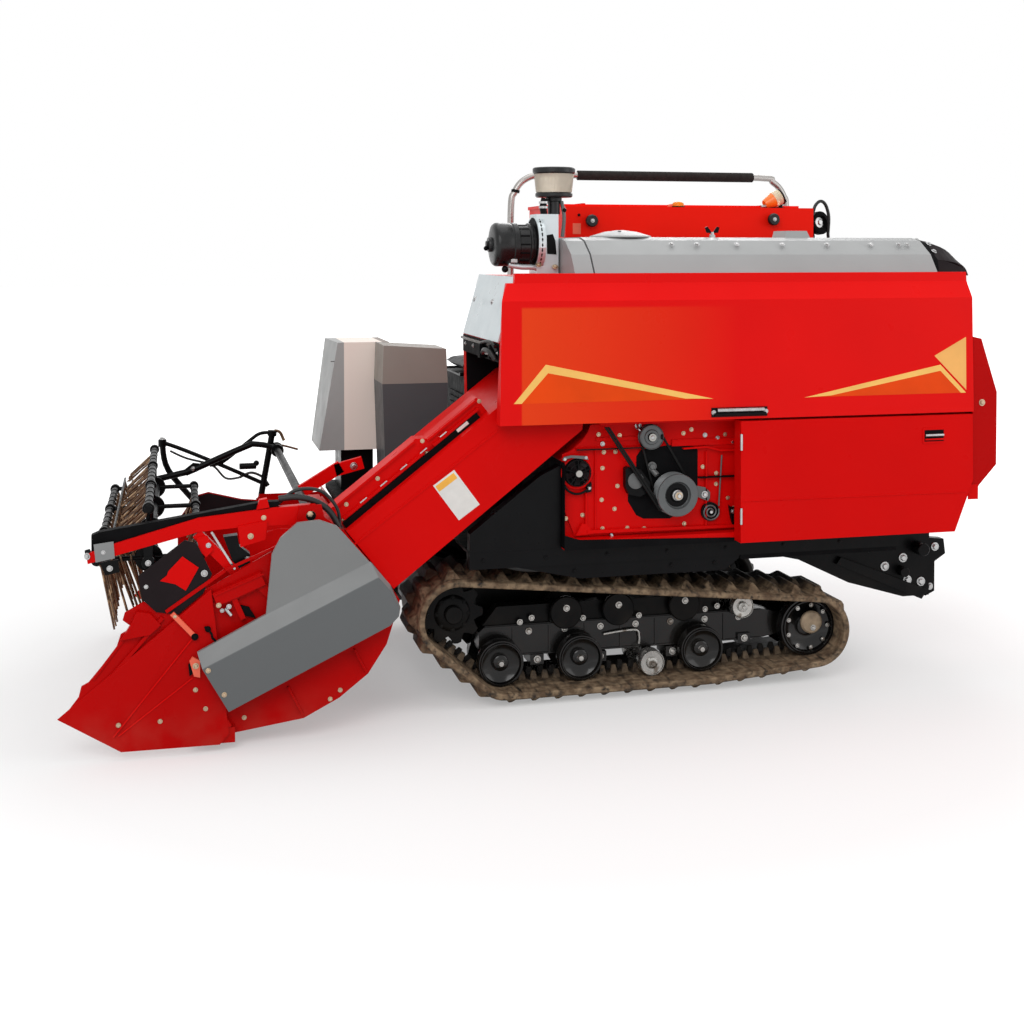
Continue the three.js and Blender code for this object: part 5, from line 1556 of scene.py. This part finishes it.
def make_tank_fittings():
    piece = Piece("tank_side_fittings", "machine", salmon, red, black_matt, steel, hose, slot="red_paint")
    piece.box(236, 270, -61.5, -59.5, 1722, 1766)
    piece.ball((262, -62, 1800), 6, 2)
    piece.tube(
        [
            (1306, -40, 1806), (1316, -44, 1846), (1340, -44, 1866), (1366, -40, 1850), (1386, -30, 1800),
            (1390, -16, 1730),
        ],
        7, 4, 10,
    )
    piece.tube([(1390, -16, 1730), (1392, -10, 1680), (1360, 0, 1640), (1310, 0, 1630)], 7, 4, 10)
    piece.disc(
        (1346, 4, 1772), (0.35, -1, 0.1), [(46, 0), (50, 4), (50, 26), (46, 30), (30, 32), (28, 26)], 2, 36,
    )
    piece.disc((1340, -26, 1775), (0.35, -1, 0.1), [(26, 0), (22, 6), (12, 8), (10, 14)], 3, 28)
    piece.disc((1302, 4, 1600), UP, [(34, 0), (34, 110), (28, 150), (20, 168)], 2, 28)
    for z in (1240, 1420, 1600, 1780):
        piece.box(230, 1276, 519.8, 523.5, z - 3, z + 3, 1)
    piece.make(bevel=0.8)

    lid = Piece("tank_lid_fittings", "grain_lid", red, slot="red_paint")
    for x in (330, 1170):
        lid.box(x - 8, x + 8, 100, 500, 1849, 1854)
    lid.make(bevel=1)

    hinge = Piece("tank_lid_hinges", "machine", steel, slot="bright_steel")
    for x in (330, 752, 1170):
        hinge.rod((x - 40, 528, 1835.3), (x + 40, 528, 1835.3), 6, 0)
    hinge.make()


def make_lamps():
    x, y = 718, 15
    beacon = Piece("beacon_lens", "machine", lens_amber, salmon, black, slot="amber_plastic")
    beacon.disc((x, y, 1835.3), UP, [(30, 0), (30, 5), (24, 6)], 2, 32)
    beacon.lathe((x, y, 1841.5), UP, [(0, 0), (25, 0), (25, 8), (21, 15), (12, 19), (0, 20)], 0, 36)
    beacon.rod((x - 46, y, 1840), (x - 26, y, 1844), 8, 1)
    beacon.make(replaces=("beacon",))
    y = 30
    lamp = Piece("work_lamp_head", "machine", orange, lens_cream, black, steel, slot="amber_plastic")
    lamp.disc((1116, y, 1852), (0.86, 0, 0.42), [(18, 0), (21, 6), (30, 36), (33, 46)], 0, 36)
    lamp.lathe((1156, y, 1871.6), (0.86, 0, 0.42), [(0, 0), (33, 0), (35, 26), (33, 36), (0, 40)], 1, 36)
    lamp.lathe((1190, y, 1887), (0.86, 0, 0.42), [(36, -4), (36.5, 2), (32, 2), (32, -4)], 2, 36)
    lamp.box(1120, 1204, y - 10, y + 10, 1835.3, 1841, 2)
    lamp.rod((1098, y - 4, 1842), (1122, y - 4, 1846), 8, 3)
    lamp.rod((1190, y, 1841), (1190, y, 1866), 9, 2)
    lamp.make(bevel=0.8, replaces=("work_lamp",))


make_air_cleaner()
make_pre_cleaner()
make_top_fittings()
make_guard_rail()
make_tank_fittings()
make_lamps()

# ---------- operator's place ----------


def cushion(name, corners, thickness, lift):
    """A padded cushion swollen by a cloth simulation, inside a slab whose corners are given."""
    a, b, c, d = (Vector(p) for p in corners)
    up = (b - a).cross(d - a).normalized() * thickness
    n = 12
    verts = []
    for layer in (0, 1):
        for i in range(n + 1):
            for j in range(n + 1):
                u, v = i / n, j / n
                p = a.lerp(b, u).lerp(d.lerp(c, u), v)
                pinch = 1 - 0.05 * (1 - math.sin(math.pi * u) * math.sin(math.pi * v))
                middle = (a + b + c + d) / 4
                p = middle + (p - middle) * pinch
                crown = (math.sin(math.pi * u) * math.sin(math.pi * v)) ** 0.5
                verts.append(p + up * (0.08 + 0.42 * (1 - crown) if layer == 0 else 0.60 + 0.32 * crown))
    size = (n + 1) ** 2
    faces = []

    def at(layer, i, j):
        return layer * size + i * (n + 1) + j

    for i in range(n):
        for j in range(n):
            faces.append([at(0, i, j), at(0, i, j + 1), at(0, i + 1, j + 1), at(0, i + 1, j)])
            faces.append([at(1, i, j), at(1, i + 1, j), at(1, i + 1, j + 1), at(1, i, j + 1)])
    for k in range(n):
        faces.append([at(0, k, 0), at(0, k + 1, 0), at(1, k + 1, 0), at(1, k, 0)])
        faces.append([at(0, k + 1, n), at(0, k, n), at(1, k, n), at(1, k + 1, n)])
        faces.append([at(0, 0, k + 1), at(0, 0, k), at(1, 0, k), at(1, 0, k + 1)])
        faces.append([at(0, n, k), at(0, n, k + 1), at(1, n, k + 1), at(1, n, k)])
    obj = put(name, shape(name, verts, faces, [vinyl], [0] * len(faces)))
    swell(obj, 0.006, lift * MM)
    sub = obj.modifiers.new("smooth", "SUBSURF")
    sub.levels = sub.render_levels = 1
    obj.data.shade_smooth()
    return obj


def swell(obj, voxel, most):
    """Blows a form up a little as cloth under pressure, with no point moving further than most."""
    mod = obj.modifiers.new("remesh", "REMESH")
    mod.mode = "VOXEL"
    mod.voxel_size = voxel
    graph = bpy.context.evaluated_depsgraph_get()
    mesh = bpy.data.meshes.new_from_object(obj.evaluated_get(graph))
    obj.modifiers.clear()
    obj.data = mesh
    start = [v.co.copy() for v in mesh.vertices]
    cloth = obj.modifiers.new("cloth", "CLOTH")
    cloth.settings.use_pressure = True
    cloth.settings.uniform_pressure_force = 4
    cloth.settings.effector_weights.gravity = 0
    scene = bpy.context.scene
    for frame_number in range(1, 21):
        scene.frame_set(frame_number)
    graph = bpy.context.evaluated_depsgraph_get()
    puffed = bpy.data.meshes.new_from_object(obj.evaluated_get(graph))
    obj.modifiers.clear()
    for vertex, old in zip(puffed.vertices, start):
        step = vertex.co - old
        if step.length > most:
            vertex.co = old + step.normalized() * most
    obj.data = puffed
    scene.frame_set(1)


def settle(obj):
    """Fixes a finished cushion to the machine."""
    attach(obj, "machine")


pan = cushion(
    "seat_cushion", [(-162, 268, 1134), (142, 268, 1134), (142, 672, 1134), (-162, 672, 1134)], 58, 8,
)
back = cushion(
    "seat_back_cushion", [(92, 664, 1206), (92, 276, 1206), (140, 284, 1470), (140, 656, 1470)], 54, 8,
)
settle(back)
settle(pan)
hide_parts("seat")

seat_base = Piece("seat_base", "machine", black, slot="black_paint")
seat_base.plate(
    [(-160, 1121), (150, 1121), (156, 1140), (166, 1212), (150, 1210), (140, 1142), (-160, 1136)], 290, 310,
)
seat_base.plate(
    [(-160, 1121), (150, 1121), (156, 1140), (166, 1212), (150, 1210), (140, 1142), (-160, 1136)], 630, 650,
)
seat_base.box(-158, 142, 300, 640, 1121, 1129)
seat_base.slab([(151, 280, 1196), (151, 660, 1196), (197, 650, 1478), (197, 290, 1478)], (3, 0, 0))
seat_base.make(bevel=1.5)


def make_controls():
    """Levers on the faces that look at the seat, below the consoles' tops."""
    piece = Piece("steering_lever", "machine", black, plastic, slot="black_paint")
    piece.lathe((-429.6, 620, 1130), BACK, [(0, 0), (32, 0), (30, 6), (20, 14), (12, 20), (0, 21)], 1, 28)
    piece.tube([(-420, 620, 1130), (-396, 620, 1136), (-376, 620, 1160), (-370, 620, 1192)], 8, 0, 12)
    piece.lathe((-370, 620, 1186), UP, [(0, 0), (14, 2), (21, 12), (21, 20), (13, 30), (0, 33)], 1, 24)
    piece.make()
    box = Piece("side_console_levers", "machine", plastic, steel, slot="black_paint")
    for x, lean in ((-430, -10), (-372, 4), (-314, 12)):
        box.box(x - 10, x + 10, 439.6, 443, 1120, 1200)
        box.rod((x, 440, 1160), (x + lean, 486, 1196), 5, 1, 12)
        box.lathe((x + lean, 482, 1192), (0, 0.6, 0.8), [(0, 0), (9, 2), (13, 12), (9, 24), (0, 27)], 0, 20)
    box.make(bevel=0.6)
    face = Piece("console_seams", "machine", dark_grey, slot="grey_plastic")
    face.box(-690, -470, 452, 454, 1180, 1183)
    face.make(bevel=0.5)


def make_engine_cover_fittings():
    piece = Piece("engine_cover_fittings", "machine", black_matt, steel, slot="black_paint")
    for k in range(12):
        z = 740 + k * 26
        piece.box(-136, -130, 290, 650, z, z + 10)
    for k in range(9):
        z = 760 + k * 28
        piece.box(-90, 240, 739.5, 746, z, z + 10)
    for x in (-100, 250):
        for z in (680, 1080):
            piece.bolt((x, 740, z), 9, 1, RIGHT)
    piece.tube([(40, 746, 690), (40, 766, 700), (120, 766, 700), (120, 746, 690)], 6, 1, 10, step=4)
    piece.make(bevel=1)


def make_chassis_fittings():
    piece = Piece("chassis_side_fittings", "machine", black, black_matt, hose, slot="black_paint")
    for x in range(-280, 1330, 230):
        for side in SIDES:
            piece.bolt((x, side * 700, 556), 6, 0, (0, side, 0))
    piece.plate([(-320, 576), (-320, 560), (80, 470), (640, 470), (760, 560), (760, 576)], -690, -684)
    piece.bolts(((-100, 540), (60, 500), (430, 500), (600, 500)), -690, 7)
    piece.plate([(7, 585.5), (7, 640), (62, 622), (692, 600), (692, 585.5)], -743, -740.2, 1)
    piece.tube(
        [(-240, -640, 560), (-170, -650, 520), (-60, -650, 505), (60, -640, 520), (200, -600, 560)], 12, 2,
        12,
    )
    piece.tube([(640, -640, 560), (760, -650, 520), (900, -640, 530), (1020, -600, 560)], 10, 2, 12)
    piece.box(700, 1340, -696, -690, 508, 576, 1)
    piece.make(bevel=1)
    hitch = Piece("rear_hitch_fittings", "machine", black, steel, slot="black_paint")
    hitch.plate([(1181, 424), (1200, 450), (1580, 300), (1554, 264)], -520, -500.2)
    hitch.bolts(((1330, 480), (1400, 400), (1480, 430), (1556, 470), (1560, 330), (1500, 340)), -500, 13, 1)
    hitch.rod((1540, -560, 470), (1540, -340, 470), 26, 0)
    hitch.rod((1470, -540, 380), (1470, -360, 380), 20, 0)
    hitch.plate(
        [(1590, 500), (1680, 490), (1688, 430), (1640, 400), (1640, 280), (1600, 262), (1590, 300)], -470,
        -430,
    )
    hitch.bolt((1640, -470, 460), 12, 1)
    hitch.bolt((1618, -470, 300), 10, 1)
    hitch.make(bevel=1.5)


def make_body_fittings():
    piece = Piece("body_side_fittings", "machine", red, gold, slot="red_paint")
    piece.box(1592, 1634, -784, -779.5, 708, 764)
    piece.bolt((1649, -780, 1076), 9, 1)
    piece.make(bevel=1)
    hinge = Piece("rear_door_hinges", "machine", steel, slot="bright_steel")
    for z in (690, 960):
        hinge.rod((656, -803, z - 30), (656, -803, z + 30), 5, 0)
    hinge.make()
    creases = Piece("rear_door_creases", "rear_door", red, slot="red_paint")
    rib(creases, (664, 745), (1574, 741), -802.2, -799.8, 5, 0)
    creases.make(bevel=0.8)
    right = Piece("body_right_side_fittings", "machine", red, gold, slot="red_paint")
    for x in (300, 700, 1100, 1500):
        for z in (720, 1100):
            right.bolt((x, -119.8, z), 9, 1, RIGHT)
    for x in (500, 900, 1300):
        right.box(x - 5, x + 5, -120.2, -108, 640, 1160)
    right.make(bevel=1)
    sheet = Piece("front_sheet_fittings", "machine", steel, slot="galvanised")
    for y in (-600, -300):
        sheet.bolt((-222, y, 1470), 8, 0, (-0.9, 0, 0.4))
    sheet.make()
    mouth = Piece(
        "feeder_mouth_fittings", "machine", black_matt, gloss_black, steel, hose, slot="black_paint",
    )
    mouth.box(-233, -230.2, -739, -126, 1262, 1327)
    mouth.box(-231, 46, -738, -166, 1260, 1261.8)
    mouth.plate([(-229, 1261), (-224, 1045), (-62, 964), (8, 905), (40, 1180), (40, 1261)], -166.8, -165.2)
    mouth.box(-248, -233, -726, -150, 1312, 1322, 1)
    mouth.box(8.3, 9.9, -739.8, -126, 590, 898)
    mouth.box(-258, -233, -700, -676, 1270, 1322)
    mouth.box(-262, -233, -560, -530, 1266, 1316)
    mouth.tube(
        [
            (-240, -716, 1270), (-256, -700, 1296), (-262, -640, 1300), (-250, -560, 1284),
            (-240, -480, 1270),
        ],
        9, 3, 10,
    )
    mouth.tube([(-238, -728, 1300), (-250, -690, 1330), (-256, -600, 1326), (-246, -500, 1310)], 6, 3, 8)
    mouth.rod((-250, -690, 1288), (-250, -610, 1288), 7, 2)
    for y in (-720, -650, -480, -320, -180):
        mouth.bolt((-233, y, 1294), 6, 2, (-1, 0, 0))
    mouth.make(bevel=1)


make_controls()
make_engine_cover_fittings()
make_chassis_fittings()
make_body_fittings()
